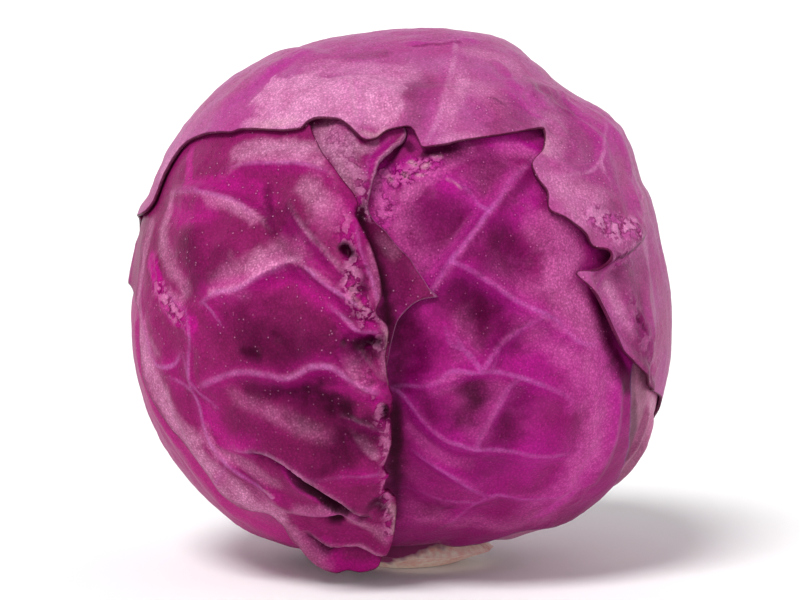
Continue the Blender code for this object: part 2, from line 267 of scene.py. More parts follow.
class Leaf:
    def __init__(self, name, slot, middle, outline, ridges=(), pleats=(), dents=(), crumples=(),
                 veins=(), ribs=(), **tints):
        self.name, self.slot, self.middle = name, slot, unit(middle)
        self.outline = curve(outline, MARGIN_SPACING, closed=True)
        self.across = unit(np.cross((0.0, 0.0, 1.0), self.middle))
        self.along = np.cross(self.middle, self.across)
        self.loop = self.lay(self.outline)
        self.ridges = [(width, value_line(points)) for width, points in ridges]
        self.pleats = [(rise, drop, value_line(points)) for rise, drop, points in pleats]
        self.dents = [(seen(p)[0], p[2], p[3]) for p in dents]
        self.crumples = [(width, size, value_line(points, 3.0)) for width, size, points in crumples]
        self.veins = [(width, value_line(points, 1.0)) for width, points in veins]
        self.veins += [(width, value_line(points, 3.0, at)) for width, points in ribs]
        self.tints = {tint: [(width, edge, value_line(points, max(1.0, width / 2)))
                             for width, edge, points in tints.get(tint, ())] for tint in TINTS}

    def lay(self, d):
        """The leaf laid out flat, as seen from the far side of the head."""
        return np.stack((d @ self.across, d @ self.along), axis=1) / (1.001 + d @ self.middle)[:, None]

    def holds(self, d):
        """Which directions lie within the margin."""
        x, y = self.lay(d).T
        hit = np.zeros(len(d), dtype=bool)
        for (x0, y0), (x1, y1) in zip(self.loop, np.roll(self.loop, -1, axis=0)):
            if y0 != y1:
                crosses = (y0 > y) != (y1 > y)
                hit ^= crosses & (x < (x1 - x0) * (y - y0) / (y1 - y0) + x0)
        return hit

    def outside(self, d, reach=14.0):
        """Distance beyond the margin, negative on the leaf, at most reach either way."""
        away = to_line(d, self.outline, reach, closed=True)[0]
        return np.where(self.holds(d), -away, away)

    def size(self):
        around = round(len(self.outline) * MARGIN_SPACING)
        return f"{self.name}: {around} mm of margin, {len(self.veins)} veins"


print("points", FINE, "mm apart in front and", COARSE, "mm apart where nobody sees detail")

# %% [markdown]
# ## The six leaves
#
# The two lower leaves show only as strips at the sides. The front right leaf is smooth and quilted by
# its veins. The tucked leaf shows at the top of the seam and as a pointed flap. The front left leaf is
# the folded one, with a crumpled lip along the seam. The top leaf lies over all of them. Parts that the
# front doesn't show get the branching ribs that such leaves have, rising from the stem.

# %% [markdown]
# ## The lower right leaf
#
# A dusky leaf that shows only as a strip at the right, behind the front right leaf, with one edge
# folded over. The rest of it runs on round the back, where branching ribs rise from the stem.

# %% Lower right leaf
lower_right_margin = (
    seen((44, 20), (40, -5), (38, -30), (36, -50), (32, -62))
    + at((35, -71), (75, -75), (110, -75), (150, -72), (168, -60), (176, -40), (172, -15), (160, 5),
         (140, 16), (115, 20), (95, 20), (70, 22))
)
lower_right_ridges = (
    (4, ((71, -28, 0.5), (67, -38, 1.6), (62, -46, 1.8), (56, -54, 1.0))),
)
lower_right_pleats = (
    (4, 2, ((70.5, -27, 0.4), (68, -33, 1.2), (64, -41, 1.4), (60, -47, 0.8))),
)
lower_right_ribs = (
    (2.6, ((118, -72, 1.0), (112, -50, 1.0), (108, -28, 0.9), (104, -6, 0.6))),
    (1.4, ((112, -50, 0.8), (95, -38, 0.7), (82, -30, 0.5))),
    (1.4, ((111, -44, 0.8), (132, -28, 0.7), (146, -14, 0.4))),
    (1.2, ((109, -32, 0.7), (94, -18, 0.6), (84, -8, 0.3))),
)
lower_right_bloom_and_highlight = (
    (2.5, 2, ((70.5, -28.5, 0.7), (68.5, -32.5, 0.6), (65, -38.5, 0.3))),
)
# painted shade in the gap beside the front right leaf's margin; the deep stroke beside it is darker skin
# and painted shade
lower_right_gap_shade = (
    (3.2, 2.4, ((66, -20.5, 0.5), (65.5, -29, 0.55), (64.5, -36, 0.55), (62.5, -42.5, 0.5),
        (58, -50, 0.5))),
)
lower_right_deep_and_shade = (
    (7.0, 4.0, ((67.5, -27.5, 0.4), (65.5, -37, 0.5), (62.5, -45.5, 0.5), (58, -52.5, 0.4))),
)
lower_right = Leaf("lower_right_leaf", "dusky_leaf", at((95, -30))[0], lower_right_margin,
    ridges=lower_right_ridges, pleats=lower_right_pleats, ribs=lower_right_ribs, bloom=lower_right_bloom_and_highlight,
    gap=lower_right_gap_shade, deep=lower_right_deep_and_shade)
print(lower_right.size())

# %% [markdown]
# ## The lower left leaf
#
# Its bright rim shows at the lower left. It could be a plain strip, but the head is looked at from
# all sides, so it is a whole leaf with ribs.

# %% Lower left leaf
lower_left_margin = (
    seen((-46, 12), (-38, -10), (-32, -30), (-26, -46), (-22, -58))
    + at((-28, -71), (-75, -75), (-120, -75), (-160, -72), (-178, -60), (168, -45), (166, -20), (172, 2),
         (-170, 14), (-145, 20), (-115, 20), (-85, 18), (-60, 16))
)
lower_left_ridges = (
    (6, ((-75, -7, 1.0), (-74, -14, 1.0), (-70.5, -26, 0.9), (-60.5, -42.5, 0.8), (-47, -58.5, 0.8),
        (-30.5, -68.5, 0.6))),
)
lower_left_ribs = (
    (3.0, ((-135, -72, 1.0), (-132, -50, 1.0), (-128, -28, 0.9), (-126, -6, 0.6))),
    (1.5, ((-133, -54, 0.8), (-112, -42, 0.8), (-96, -34, 0.6), (-84, -30, 0.3))),
    (1.4, ((-130, -40, 0.8), (-112, -24, 0.7), (-100, -14, 0.4))),
    (1.5, ((-132, -50, 0.8), (-152, -36, 0.7), (-166, -24, 0.4))),
    (1.3, ((-128, -30, 0.7), (-146, -14, 0.6), (-156, -2, 0.3))),
)
lower_left_flush = (
    (6, 4, ((-69, -27.5, 0.5), (-58, -44, 0.7), (-44, -59.5, 0.7), (-27.5, -68.5, 0.5))),
)
lower_left_bloom_and_highlight = (
    (3, 2.5, ((-71.5, -12.5, 0.7), (-69, -23.5, 0.4))),
)
lower_left = Leaf("lower_left_leaf", "magenta_leaf", at((-110, -30))[0], lower_left_margin,
    ridges=lower_left_ridges, ribs=lower_left_ribs, flush=lower_left_flush, bloom=lower_left_bloom_and_highlight)
print(lower_left.size())

# %% [markdown]
# ## The front right leaf
#
# The large leaf right of the seam is smooth and quilted: the skin swells between the veins. It comes
# in parts, first the margin, then the relief, the veins and the tints, so that each list stays short.
#
# The margin shows along the seam and at the lower right, where it was read off point by point. Where
# other leaves lie over it, it could be any line, so it simply runs on under them.

# %% Front right leaf: margin
front_right_margin = (
    seen((-12.5, 52.5), (0, 58), (14, 56), (33, 58), (48, 56.5), (60, 41.5), (66.5, 22), (69.5, 3),
         (68.5, -11), (65, -19), (64, -27), (62.5, -36.5), (57.5, -50.5), (52, -57.5), (44, -62.5),
         (33, -66.5))
    + at((32, -70), (20, -74), (0, -75), (-15, -72))
    + seen((-8, -64), (-8, -48), (-9, -27), (-9, -5), (-8, 15), (-13, 30), (-14, 42))
)
print("margin:", len(front_right_margin), "places read off")

# %% [markdown]
# ### Front right leaf: folds
#
# Each large vein lies on a low fold, softer above it than below. A ridge is written as (width,
# points) and a pleat as (rise, drop, points), with the height in mm as the third number of a point.

# %% Front right leaf: folds
front_right_ridges = (
    (12, ((31, -32, 1.2), (43, -34, 1.4), (50, -20, 1.0))),
    (14, ((0, 33, 0.6), (22, 19.5, 0.8), (27.5, -8.5, 0.8), (11, -27.5, 0.8), (22, -49.5, 0.8))),
    (8, ((40, 16.5, 0.8), (47, 11, 0.9), (44, 3, 0.6))),
    (4, ((62, -18, 0.8), (60, -27, 1.2), (58, -36, 1.2), (53, -49, 0.8))),
    (5, ((55, -22, 0.5), (51, -38.5, 0.7), (44, -52.5, 0.6))),
    (3, ((48.5, -55, 0.3), (51, -47, -0.6), (52.5, -41.5, -0.3))),
    (5, ((27.5, 38.5, 0.7), (22, 33, 0.9), (19.5, 41.5, 0.5))),
    (3, ((15, -12.5, 0.3), (17, -7, 0.7), (15.5, -3, 0.3))),
    (3, ((38.5, -12.5, -0.3), (44, -8.5, -0.4), (33, -16.5, -0.3))),
    (1.6, ((42, -2, 0.2), (43, 0, -0.5), (44.5, 2, -0.4))),
)
front_right_pleats = (
    (9, 4, ((36, 38, 0.3), (28, 28.5, 1.8), (19.5, 17.5, 2.4), (11, 5.5, 1.9), (7.5, 0, 0.3))),
    (9, 4, ((14.5, 10.5, 0.4), (25, 5, 1.6), (36.5, -3, 1.6), (49.5, -11.5, 1.2), (56, -13, 0.2))),
    (7, 4, ((22, -19.5, 1.1), (29.5, -11.5, 1.5), (40, -4, 0.4))),
    (7, 5, ((3, -27, 0.3), (11, -23.5, 1.2), (22, -19.5, 1.5), (29.5, -21, 0.6))),
    (7, 4, ((22, -19.5, 0.6), (36.5, -22.5, 1.1), (47, -27.5, 0.3))),
    (9, 5, ((1, -29, 0.4), (10, -38.5, 1.5), (21.5, -41.5, 1.6), (40.5, -42.5, 1.0), (52, -41, 0.2))),
    (7, 4, ((21, -41.5, 0.5), (26, -32.5, 1.5), (32.5, -22.5, 0.4))),
    (7, 4, ((6, -47, 0.4), (13, -49.5, 1.5), (20, -53, 1.0), (25, -57, 0.3))),
    (7, 5, ((3, -60, 0.3), (22, -58.5, 0.9), (30, -55, 0.9), (44, -53, 0.3))),
    (4, 2, ((20, -60, 0.3), (16, -65, 0.7), (11, -68, 0.3))),
)
print("ridges, pleats:", len(front_right_ridges), len(front_right_pleats))

# %% [markdown]
# ### Front right leaf: dents and crumples
#
# Between the veins the skin sinks by about 1 mm, so round dents go there: (right, up, radius, depth).
# At the top of the seam the leaf was squeezed, and that makes the two crumples: (width, size,
# points).

# %% Front right leaf: dents and crumples
front_right_dents = (
    (14, 21, 9, 0.8),
    (32.5, 15, 9, 1.2),
    (22, -5, 9, 1.0),
    (6, -15, 7, 0.7),
    (23, -28, 6, 1.2),
    (11, -32, 6, 0.7),
    (37, -15, 7, 0.6),
    (30, -33, 6, 0.8),
    (8, -55, 6, 0.5),
)
front_right_crumples = (
    (5, 2.6, ((-4, 41.5, 0.9), (1.5, 39, 1.4), (7, 41, 1.4), (11.5, 41, 0.8))),
    (5, 2.2, ((-7, 34.5, 0.8), (-3, 29, 0.9), (-5.5, 23.5, 0.8))),
)
print("dents, crumples:", len(front_right_dents), len(front_right_crumples))

# %% [markdown]
# ### Front right leaf: veins
#
# The veins fork towards the right, as they do from a leaf's base. They fade in and out, so each point
# has its own strength, and a short cross vein is kept even where it is hardly seen.

# %% Front right leaf: veins
front_right_veins = (
    (0.8, ((38.5, 40.5, 0.2), (36, 38, 0.3), (31.5, 34, 0.4), (28, 28.5, 0.6), (24.5, 24.5, 1),
        (19.5, 17.5, 0.7), (14, 11, 0.9), (11, 5.5, 0.5), (7.5, 0, 0.2))),
    (0.7, ((24.5, 24.5, 1), (20, 30.5, 0.6), (15.5, 34, 0.3), (11, 35.5, 0.2))),
    (0.7, ((14.5, 10.5, 0.9), (19, 8.5, 0.7), (25, 5, 0.6), (33, -0.5, 0.8), (40.5, -4, 1), (44, -6, 0.7),
        (49.5, -11.5, 0.8), (55, -12.5, 0.3))),
    (0.8, ((40, -4, 0.4), (33, -9.5, 0.3), (29.5, -11.5, 0.3), (26, -15, 0.5), (22, -19.5, 1))),
    (0.7, ((22, -19.5, 1), (29.5, -20.5, 0.9), (36.5, -22.5, 0.9), (43, -25, 0.6), (47, -27.5, 0.2))),
    (0.7, ((22, -19.5, 1), (18.5, -14.5, 0.6), (16, -11, 0.5), (14, -9.5, 0.2))),
    (0.7, ((20.5, -20, 1), (14, -20, 0.8), (11, -23.5, 0.5), (6, -26, 0.4), (-3, -27, 0.5))),
    (0.7, ((-2, -27.5, 0.8), (2, -31, 0.9), (6, -35.5, 0.4), (10, -38.5, 0.4), (16.5, -40.5, 0.7),
        (21.5, -41.5, 0.9), (33, -42, 0.5), (40.5, -42.5, 0.5), (48.5, -41, 0.2))),
    (1.0, ((32.5, -22.5, 0.5), (29.5, -26.5, 0.4), (26, -32.5, 0.3), (22.5, -37.5, 0.3),
        (21, -41.5, 0.6))),
    (0.7, ((4, -47, 0.2), (7.5, -48.5, 0.5), (13, -49.5, 1), (16.5, -51.5, 0.8), (21, -54.5, 0.6),
        (27.5, -56.5, 0.2))),
    (0.6, ((0, -60, 0.2), (9.5, -59, 0.3), (22, -58.5, 0.6), (26, -55.5, 0.7), (38.5, -55, 0.6),
        (47, -52.5, 0.1))),
    (0.6, ((22, -58.5, 0.6), (18, -63.5, 0.4), (14.5, -66.5, 0.2))),
    (0.6, ((13, -7.5, 0.2), (14.5, -12.5, 0.5), (19.5, -15, 0.6), (22, -19.5, 0.9))),
    (0.6, ((27.5, -12.5, 0.2), (27, -16.5, 0.5), (24.5, -19.5, 0.8))),
)
print("veins:", len(front_right_veins))

# %% [markdown]
# ### Front right leaf: pale bloom
#
# The wax is whole where nothing rubbed it: beside the seam and on the right. The narrow strokes along
# the folds are painted highlight on their lit crests. A stroke is (width, softness, points), with a
# strength at each point.

# %% Front right leaf: pale bloom
front_right_bloom_and_highlight = (
    (5, 4, ((-6, 36, 0.8), (-4, 29, 0.8), (-1.5, 25, 0.5))),
    (4, 3, ((2, 31.5, 0.9), (7, 35.5, 0.9), (12.5, 38.5, 0.7), (19.5, 42, 0.4))),
    (8, 7, ((1.5, 23.5, 0.4), (5.5, 14, 0.4), (12.5, 14, 0.3))),
    (9, 8, ((27.5, 38.5, 0.25), (22, 33, 0.35), (29, 34.5, 0.25))),
    (1.8, 1.8, ((36, 38.5, 0.5), (31, 34, 0.6), (27.5, 29, 0.7), (23, 24.5, 0.9), (18, 18, 0.7),
        (12.5, 10.5, 0.8), (10, 5.5, 0.6))),
    (8, 6, ((40, 20.5, 0.6), (47.5, 14, 0.8), (44, 4, 0.95), (49, -1.5, 0.95), (53, -9.5, 0.85))),
    (8, 7, ((38.5, -5.5, 0.4), (47, -14, 0.6), (52.5, -27.5, 0.6), (51, -41.5, 0.6), (44, -52.5, 0.4))),
    (4, 3, ((29, 43.5, 0.3), (34.5, 43.5, 0.75), (38, 41.5, 0.65))),
    (8, 7, ((55, -14, 0.5), (55, -33, 0.6), (49, -49.5, 0.5), (40, -60.5, 0.35))),
    (5, 4, ((20.5, 19.5, 0.4), (15, 12.5, 0.4))),
    (7, 6, ((27.5, 7, 0.3), (36, 3, 0.4))),
    (6, 5, ((18, -5.5, 0.4), (19.5, -12.5, 0.3))),
    (8, 7, ((27.5, -26, 0.4), (22, -36, 0.35), (19.5, -27.5, 0.3))),
    (2, 1.6, ((48.5, -5.5, 0.5), (51, -9.5, 0.9), (53, -12.5, 0.5))),
    (4, 3, ((11, -26, 0.25), (14.5, -22, 0.4))),
    (6, 5, ((38.5, -55, 0.2), (33, -63.5, 0.4), (19.5, -66, 0.35), (7, -65, 0.35))),
    (3, 2.5, ((3, -40, 0.3), (11, -45.5, 0.35), (19.5, -47, 0.25))),
)
print("bloom:", len(front_right_bloom_and_highlight))

# %% [markdown]
# ### Front right leaf: bright and deep places
#
# Under the folds and along the right margin there is painted shade, and in the panels the dye shows
# deep; towards the lower right it is bright. A painted picture could carry this, but strokes can be
# moved one by one, and they are sharp at any size.

# %% Front right leaf: bright and deep places
front_right_flush = (
    (4, 3, ((27.5, 44.5, 0.7), (33, 45, 0.95), (38, 43.5, 1))),
    (5, 4, ((11, 34.5, 0.6), (18, 30.5, 0.7), (22, 26, 0.8))),
    (5, 4, ((33, 33, 0.5), (37, 27.5, 0.6), (34.5, 23.5, 0.6), (29, 22, 0.5))),
    (9, 8, ((11, 9.5, 0.6), (19.5, 4, 0.6), (33, -3, 0.5))),
    (10, 9, ((44, -14, 0.7), (55, -27.5, 0.8), (52.5, -41.5, 0.8), (44, -52.5, 0.7))),
    (5, 4, ((55, -14, 0.7), (59.5, -25, 0.9), (56.5, -38.5, 0.9))),
    (5, 4, ((52.5, -44, 1), (48.5, -51, 1), (41.5, -58, 0.9))),
    (9, 8, ((5.5, -16.5, 0.5), (8.5, -31.5, 0.5), (16.5, -38.5, 0.6))),
    (6, 5, ((27.5, -14, 0.6), (38.5, -19.5, 0.5), (33, -27.5, 0.5))),
    (12, 10, ((11, -47, 0.3), (27.5, -49.5, 0.4), (38.5, -41.5, 0.6))),
    (3, 2, ((-4, 40, 0.9), (0, 38, 1), (2, 41.5, 0.7))),
)
# the narrow strokes under the folds and along the right margin are painted shade, the wide ones darker skin
front_right_deep_and_shade = (
    (10, 8, ((9.5, 25.5, 0.6), (14.5, 22.5, 0.7), (12.5, 17, 0.5))),
    (9, 8, ((18, 41.5, 0.5), (25, 39, 0.6), (22, 34.5, 0.4))),
    (2.4, 2.2, ((37.5, 36.5, 0.6), (32, 30.5, 0.7), (27.5, 26, 0.5))),
    (9, 8, ((7, -33, 0.6), (14, -34.5, 0.6), (8.5, -38.5, 0.3))),
    (10, 8, ((28, 19, 0.7), (31.5, 12.5, 0.75), (27.5, 10.5, 0.65))),
    (3, 3, ((23, 21.5, 0.9), (19.5, 15, 0.9), (16, 9.5, 0.8))),
    (11, 9, ((16.5, 1.5, 0.8), (25, -4, 1), (26, -9.5, 0.8))),
    (9, 7, ((1.5, -9.5, 0.95), (5, -17, 0.9), (0.5, -23.5, 0.9))),
    (8, 7, ((20.5, -34.5, 0.5), (29, -38.5, 0.5), (19.5, -41.5, 0.4))),
    (6, 5, ((19.5, -25, 0.9), (22, -29, 1), (19.5, -31.5, 0.8))),
    (7, 6, ((33, -27.5, 0.6), (29, -36, 0.5))),
    (5, 4, ((5.5, -30.5, 0.5), (8.5, -34.5, 0.5))),
    (5, 4, ((-1.5, -33, 1), (-1, -41.5, 1), (-1.5, -52.5, 0.9), (-0.5, -60.5, 0.6))),
    (8, 7, ((22, -48.5, 0.3), (27.5, -47, 0.3))),
    (4, 3, ((55.5, 3, 0.9), (58.5, -11, 0.9), (63.5, -23.5, 0.9))),
    (5, 4, ((11, 41, 0.9), (14.5, 42, 0.9))),
    (6, 5, ((8.5, -63.5, 0.4), (14, -60.5, 0.4))),
    (1.2, 1, ((36.5, -6, 0.6), (32.5, -9, 0.8), (29, -12.5, 0.5))),
)
print("flush, deep:", len(front_right_flush), len(front_right_deep_and_shade))

# %% [markdown]
# ### Front right leaf: slits and torn places
#
# Gap strokes are painted shade: the dark slits along the seam and under the leaf above. A crinkle is a
# band of crumpled skin, and scars are the dried pale spots where it tore, at the top of the seam.

# %% Front right leaf: slits and torn places
front_right_gap_shade = (
    (2.6, 2.4, ((-1.5, -26, 0.5), (-1, -38.5, 0.8), (-1.5, -55, 0.7), (-1, -65.5, 0.4))),
    (2.2, 1.8, ((11, 42, 0.8), (7, 42, 0.8), (15, 43, 0.6))),
    (1.6, 1.2, ((3.5, 44.5, 0.7), (1, 47, 0.8), (-2, 43.5, 0.6), (-4.5, 39.5, 0.5))),
    (1.8, 1.6, ((57, 4, 0.6), (57, -4, 0.7), (60, -14, 0.6), (64.5, -21, 0.5))),
)
front_right_crinkle = (
    (4.5, 3, ((-4.5, 41, 0.8), (0, 37, 1), (5, 38.5, 1), (10, 39.5, 0.9))),
    (4, 3, ((-6.5, 33.5, 0.7), (-3.5, 29, 0.9), (-5, 24.5, 0.7))),
)
front_right_scar = (
    (0.5, 0.4, ((13.5, 34.5, 0.6), (15, 33.5, 0.8), (17, 32, 0.7))),
    (1.0, 0.7, ((3, 41, 0.7), (4.5, 39.5, 0.8))),
    (1.1, 0.8, ((7, 38.5, 0.8), (8, 39, 0.7))),
    (0.9, 0.7, ((9.5, 41, 0.8), (11.5, 41, 0.7))),
    (0.9, 0.7, ((1, 38, 0.6), (2, 37, 0.7))),
    (0.8, 0.6, ((-3.5, 38.5, 0.6), (-2.5, 37, 0.6))),
    (0.7, 0.5, ((5, 36.5, 0.6), (6.5, 36, 0.6))),
)
print("gap, crinkle, scar:", len(front_right_gap_shade), len(front_right_crinkle), len(front_right_scar))

# %% [markdown]
# ### Front right leaf: all together
#
# The lists become one leaf. It could be one long call, but short lists are easier to change.

# %% Front right leaf: all together
front_right = Leaf("front_right_leaf", "front_right_leaf", seen((28, -8))[0], front_right_margin,
    ridges=front_right_ridges, pleats=front_right_pleats, dents=front_right_dents,
    crumples=front_right_crumples, veins=front_right_veins, bloom=front_right_bloom_and_highlight,
    flush=front_right_flush, deep=front_right_deep_and_shade, gap=front_right_gap_shade, crinkle=front_right_crinkle,
    scar=front_right_scar)
print(front_right.size())

# %% [markdown]
# ## The tucked leaf
#
# A small leaf lies between the two front ones. It shows at the top of the seam, where its edge
# curls, and as a pointed flap lower down. Under its neighbours it is cut short, because it can't be seen.

# %% Tucked leaf
tucked_margin = (
    seen((-6, 58), (1.5, 49.5), (-2, 45), (-5.5, 41.5), (-7.5, 36), (-9.5, 28), (-7.5, 23.5), (-4.5, 21),
         (-1, 16.5), (3, 12.5), (5, 9), (7, 6), (9, 2.5), (10.5, 1), (7, 0.3), (3.5, -1.5), (-0.5, -6),
         (-2.5, -12.5), (-5, -22), (-12, -26), (-24, -8), (-26, 18), (-27, 40), (-24, 56), (-14, 60))
)
tucked_ridges = (
    (4, ((0, 49, 1.8), (-4.5, 42, 2.4), (-7.5, 34, 2.6), (-9.5, 28, 2.4))),
    (4, ((-4, 18, 0.4), (1, 11, 0.9), (5, 3, 0.8), (1, -4, 0.5))),
    (7, ((-18, 46, 0.8), (-12, 40, 0.6))),
    (2.5, ((-1.5, 48.5, 0.8), (-6, 44.5, 1.2), (-9.5, 41.5, 0.8), (-11, 36, 0.6))),
    (2.0, ((-13, 45.5, 0.3), (-11.5, 41.5, -0.8), (-12, 34.5, -0.6), (-11, 29, -0.4))),
)
tucked_crumples = (
    (6, 3.0, ((-20.5, 47, 0.5), (-15, 41.5, 0.6), (-13, 33, 0.5))),
    (3, 2.0, ((-7.5, 41.5, 0.5), (-9.5, 33, 0.7), (-10.5, 26, 0.9))),
)
tucked_veins = (
    (0.5, ((-6, 50, 0.3), (-9, 42, 0.5), (-10, 34, 0.3))),
)
tucked_bloom_and_highlight = (
    (6, 4, ((-21.5, 47.5, 0.7), (-16.5, 42.5, 0.75), (-14.5, 34.5, 0.5))),
    (1.0, 0.8, ((1, 48.5, 0.6), (-3, 44.5, 0.7), (-6, 41, 0.9), (-7.5, 34.5, 0.9), (-10, 26, 0.7))),
    (2.5, 2, ((-11, 44, 0.6), (-7.5, 47, 0.4))),
    (3, 2.5, ((-5.5, 18, 0.2), (-1.5, 14, 0.3))),
)
tucked_flush = (
    (3, 2, ((-4, 47, 0.8), (-7.5, 42.5, 0.9), (-9, 37, 0.6))),
    (2.5, 2, ((-11, 29, 0.8), (-10.5, 33, 0.6))),
    (5, 4, ((0, -5.5, 0.4), (-1.5, -11, 0.5))),
)
tucked_crinkle = (
    (3, 2, ((-19.5, 47, 0.4), (-15, 41.5, 0.5), (-9.5, 30.5, 0.7), (-10.5, 26, 0.8))),
)
# painted shade in the slit under the front left leaf's lip; the first deep stroke follows it as painted
# shade too
tucked_gap_shade = (
    (1.2, 1.0, ((-9.5, 33, 0.3), (-11, 25.5, 0.9), (-10.5, 21.5, 0.9), (-7, 12.5, 0.8), (-4.5, 1.5, 0.8),
        (-3.5, -7, 0.7))),
)
tucked_deep_and_shade = (
    (3, 2, ((-11, 25.5, 0.9), (-10.5, 21.5, 0.9), (-7, 12.5, 0.8), (-5, 3, 0.8))),
    (6, 5, ((-4, 19.5, 0.5), (0, 10.5, 0.4), (-1.5, 0, 0.5))),
    (4, 3, ((-4, -3, 0.9), (-2, -11, 0.9))),
)
tucked = Leaf("tucked_leaf", "tucked_leaf", seen((-6, 10))[0], tucked_margin, ridges=tucked_ridges,
    crumples=tucked_crumples, veins=tucked_veins, bloom=tucked_bloom_and_highlight, flush=tucked_flush,
    crinkle=tucked_crinkle, gap=tucked_gap_shade, deep=tucked_deep_and_shade)
print(tucked.size())

# %% [markdown]
# ## The front left leaf
#
# This leaf has the most relief of all: broad folds that fan out from the seam, a crumpled lip along
# it, and a lobe turned over at the bottom. Pleats make the folds, because a pleat is steep on one
# side and catches the light on the other.
#
# The right margin is the lip along the seam, so it wavers. At the bottom it turns round the lobe, and
# then it runs up the left side and over the back, under the top leaf.

# %% Front left leaf: margin
front_left_margin = (
    seen((-27, 60), (-25, 48.5), (-23, 44), (-21, 40), (-18, 36), (-15.5, 32.5), (-12.5, 29), (-11.5, 26),
         (-12, 23.5), (-10.5, 20), (-8, 15), (-6, 8.5), (-5, 1.5), (-6.5, -3.5), (-3.5, -7.5),
         (-3.5, -12), (-4, -16), (-3, -24), (-2, -28), (-3, -33), (-2.5, -36), (-2.5, -42), (-4.5, -47.5),
         (-3, -50), (-4.5, -54.5), (-1.5, -58.5), (-1, -63), (-2.5, -68), (-7, -71.5), (-14, -71.5),
         (-22, -70.5), (-28, -66.5), (-33.5, -60.5), (-43.5, -56.5), (-50, -51.5), (-53.5, -46.5),
         (-60, -39), (-64, -34), (-70.5, -23), (-73, -12), (-74.6, -1))
    + at((-98, 6), (-112, 5), (-126, 7), (-140, 12), (-148, 28), (-138, 44), (-110, 56), (-70, 64),
         (-45, 62))
)
print("margin:", len(front_left_margin), "places read off")

# %% [markdown]
# ### Front left leaf: folds
#
# The folds fan out from the lip to the left, like cloth that is gathered there, and they are deepest
# near the bottom, where the lobe is turned over. Negative heights are creases.

# %% Front left leaf: folds
front_left_ridges = (
    (8, ((-75, 22, -0.6), (-76, 8.5, -1.2), (-76, -8.5, -1.2))),
    (22, ((-22, 30.5, 0.8), (-18, 11, 1.6), (-17, -11, 1.6), (-16.5, -33, 1.6), (-20.5, -49.5, 1.8),
        (-22, -63.5, 1.2))),
    (6.5, ((-25.5, 42.5, 0.6), (-19.5, 34.5, 1.2), (-14, 26, 1.8), (-12, 20.5, 2.0), (-7.5, 10.5, 2.2),
        (-6.5, 0, 2.2), (-4.5, -12.5, 2.0), (-4, -27.5, 2.2), (-4, -41.5, 2.2), (-4.5, -49.5, 1.6),
        (-3, -59.5, 1.2), (-3, -66.5, 1.0))),
    (8, ((-27, -66, 1.4), (-21, -69, 3.6), (-14, -71.5, 4.6), (-7, -71.5, 5.0), (-3, -68, 3.4))),
    (7, ((-31.5, -58.5, 0.8), (-26, -65, 2.0), (-19.5, -70.5, 3.0), (-13, -73, 3.2), (-5.5, -71.5, 2.0))),
    (3.5, ((-38, 36, -0.3), (-38.5, 27.5, -1.2), (-37.5, 19.5, -0.6))),
    (9, ((-59.5, 16.5, 0.8), (-55, 7, 0.8), (-48.5, 14, 0.6))),
    (7, ((-27.5, 31.5, 0.8), (-20.5, 26, 1.0), (-19.5, 20.5, 0.6))),
    (9, ((-48.5, -27.5, 0.5), (-38, -31, 1.2), (-27.5, -36, 1.4), (-15, -41.5, 1.4), (-6, -47, 1.4))),
    (4, ((-25, -43.5, 0.5), (-15, -46, 1.0), (-4, -48.5, 1.6))),
    (15, ((-38, -42, 0.8), (-26.5, -46.5, 2.0), (-16.5, -53.5, 2.4), (-9.5, -59, 2.2))),
    (2.4, ((-39, -42, -0.8), (-31.5, -44, -2.4), (-24.5, -48, -3.2), (-18.5, -53, -3.6),
        (-13.5, -57.5, -3.4), (-9.5, -60.5, -2.0))),
    (2.2, ((-25.5, -63.5, -1.2), (-20, -67.5, -2.6), (-14, -69, -3.0), (-4, -70, -2.2))),
    (2.6, ((-21, -60.5, -1.6), (-17.5, -62, -1.8))),
    (4, ((-49, -44.5, 0.6), (-44, -47, 1.4), (-38, -50.5, 1.6), (-32.5, -55, 1.6), (-25, -57.5, 1.8),
        (-17, -57, 2.0), (-10.5, -60, 2.0), (-3.5, -62.5, 1.4))),
    (1.6, ((-44.5, -46, -0.3), (-40, -49, -0.9), (-36, -52.5, -0.5))),
    (8, ((-46.5, -52.5, 1.0), (-38, -56.5, 1.0))),
    (3, ((-50, -50, 0.3), (-42.5, -58.5, -0.8), (-33.5, -58.5, -0.6))),
    (6, ((-69, -8.5, 0.5), (-65, -19.5, 0.8), (-58, -36, 1.0), (-51.5, -47, 0.8))),
    (1.8, ((-12, 21, 0.6), (-11, 14, 1.2), (-8, 5.5, 1.4), (-6, 0, 1.2))),
    (1.6, ((-12, 10.5, 0.5), (-10, 4, 0.9), (-8, 0.5, 0.6))),
    (1.4, ((-6.5, -28.5, 0.6), (-4.5, -27.5, 0.9), (-2, -30, 0.9), (-2, -34, 0.9), (-4, -36.5, 0.9),
        (-6.5, -34, 0.6))),
    (2.5, ((-15, -59.5, 0.4), (-9.5, -63, 0.9), (-4, -65.5, 0.8))),
    (3, ((-59.5, -8.5, 0.4), (-56, -14, 0.6), (-55.5, -19.5, 0.4))),
)
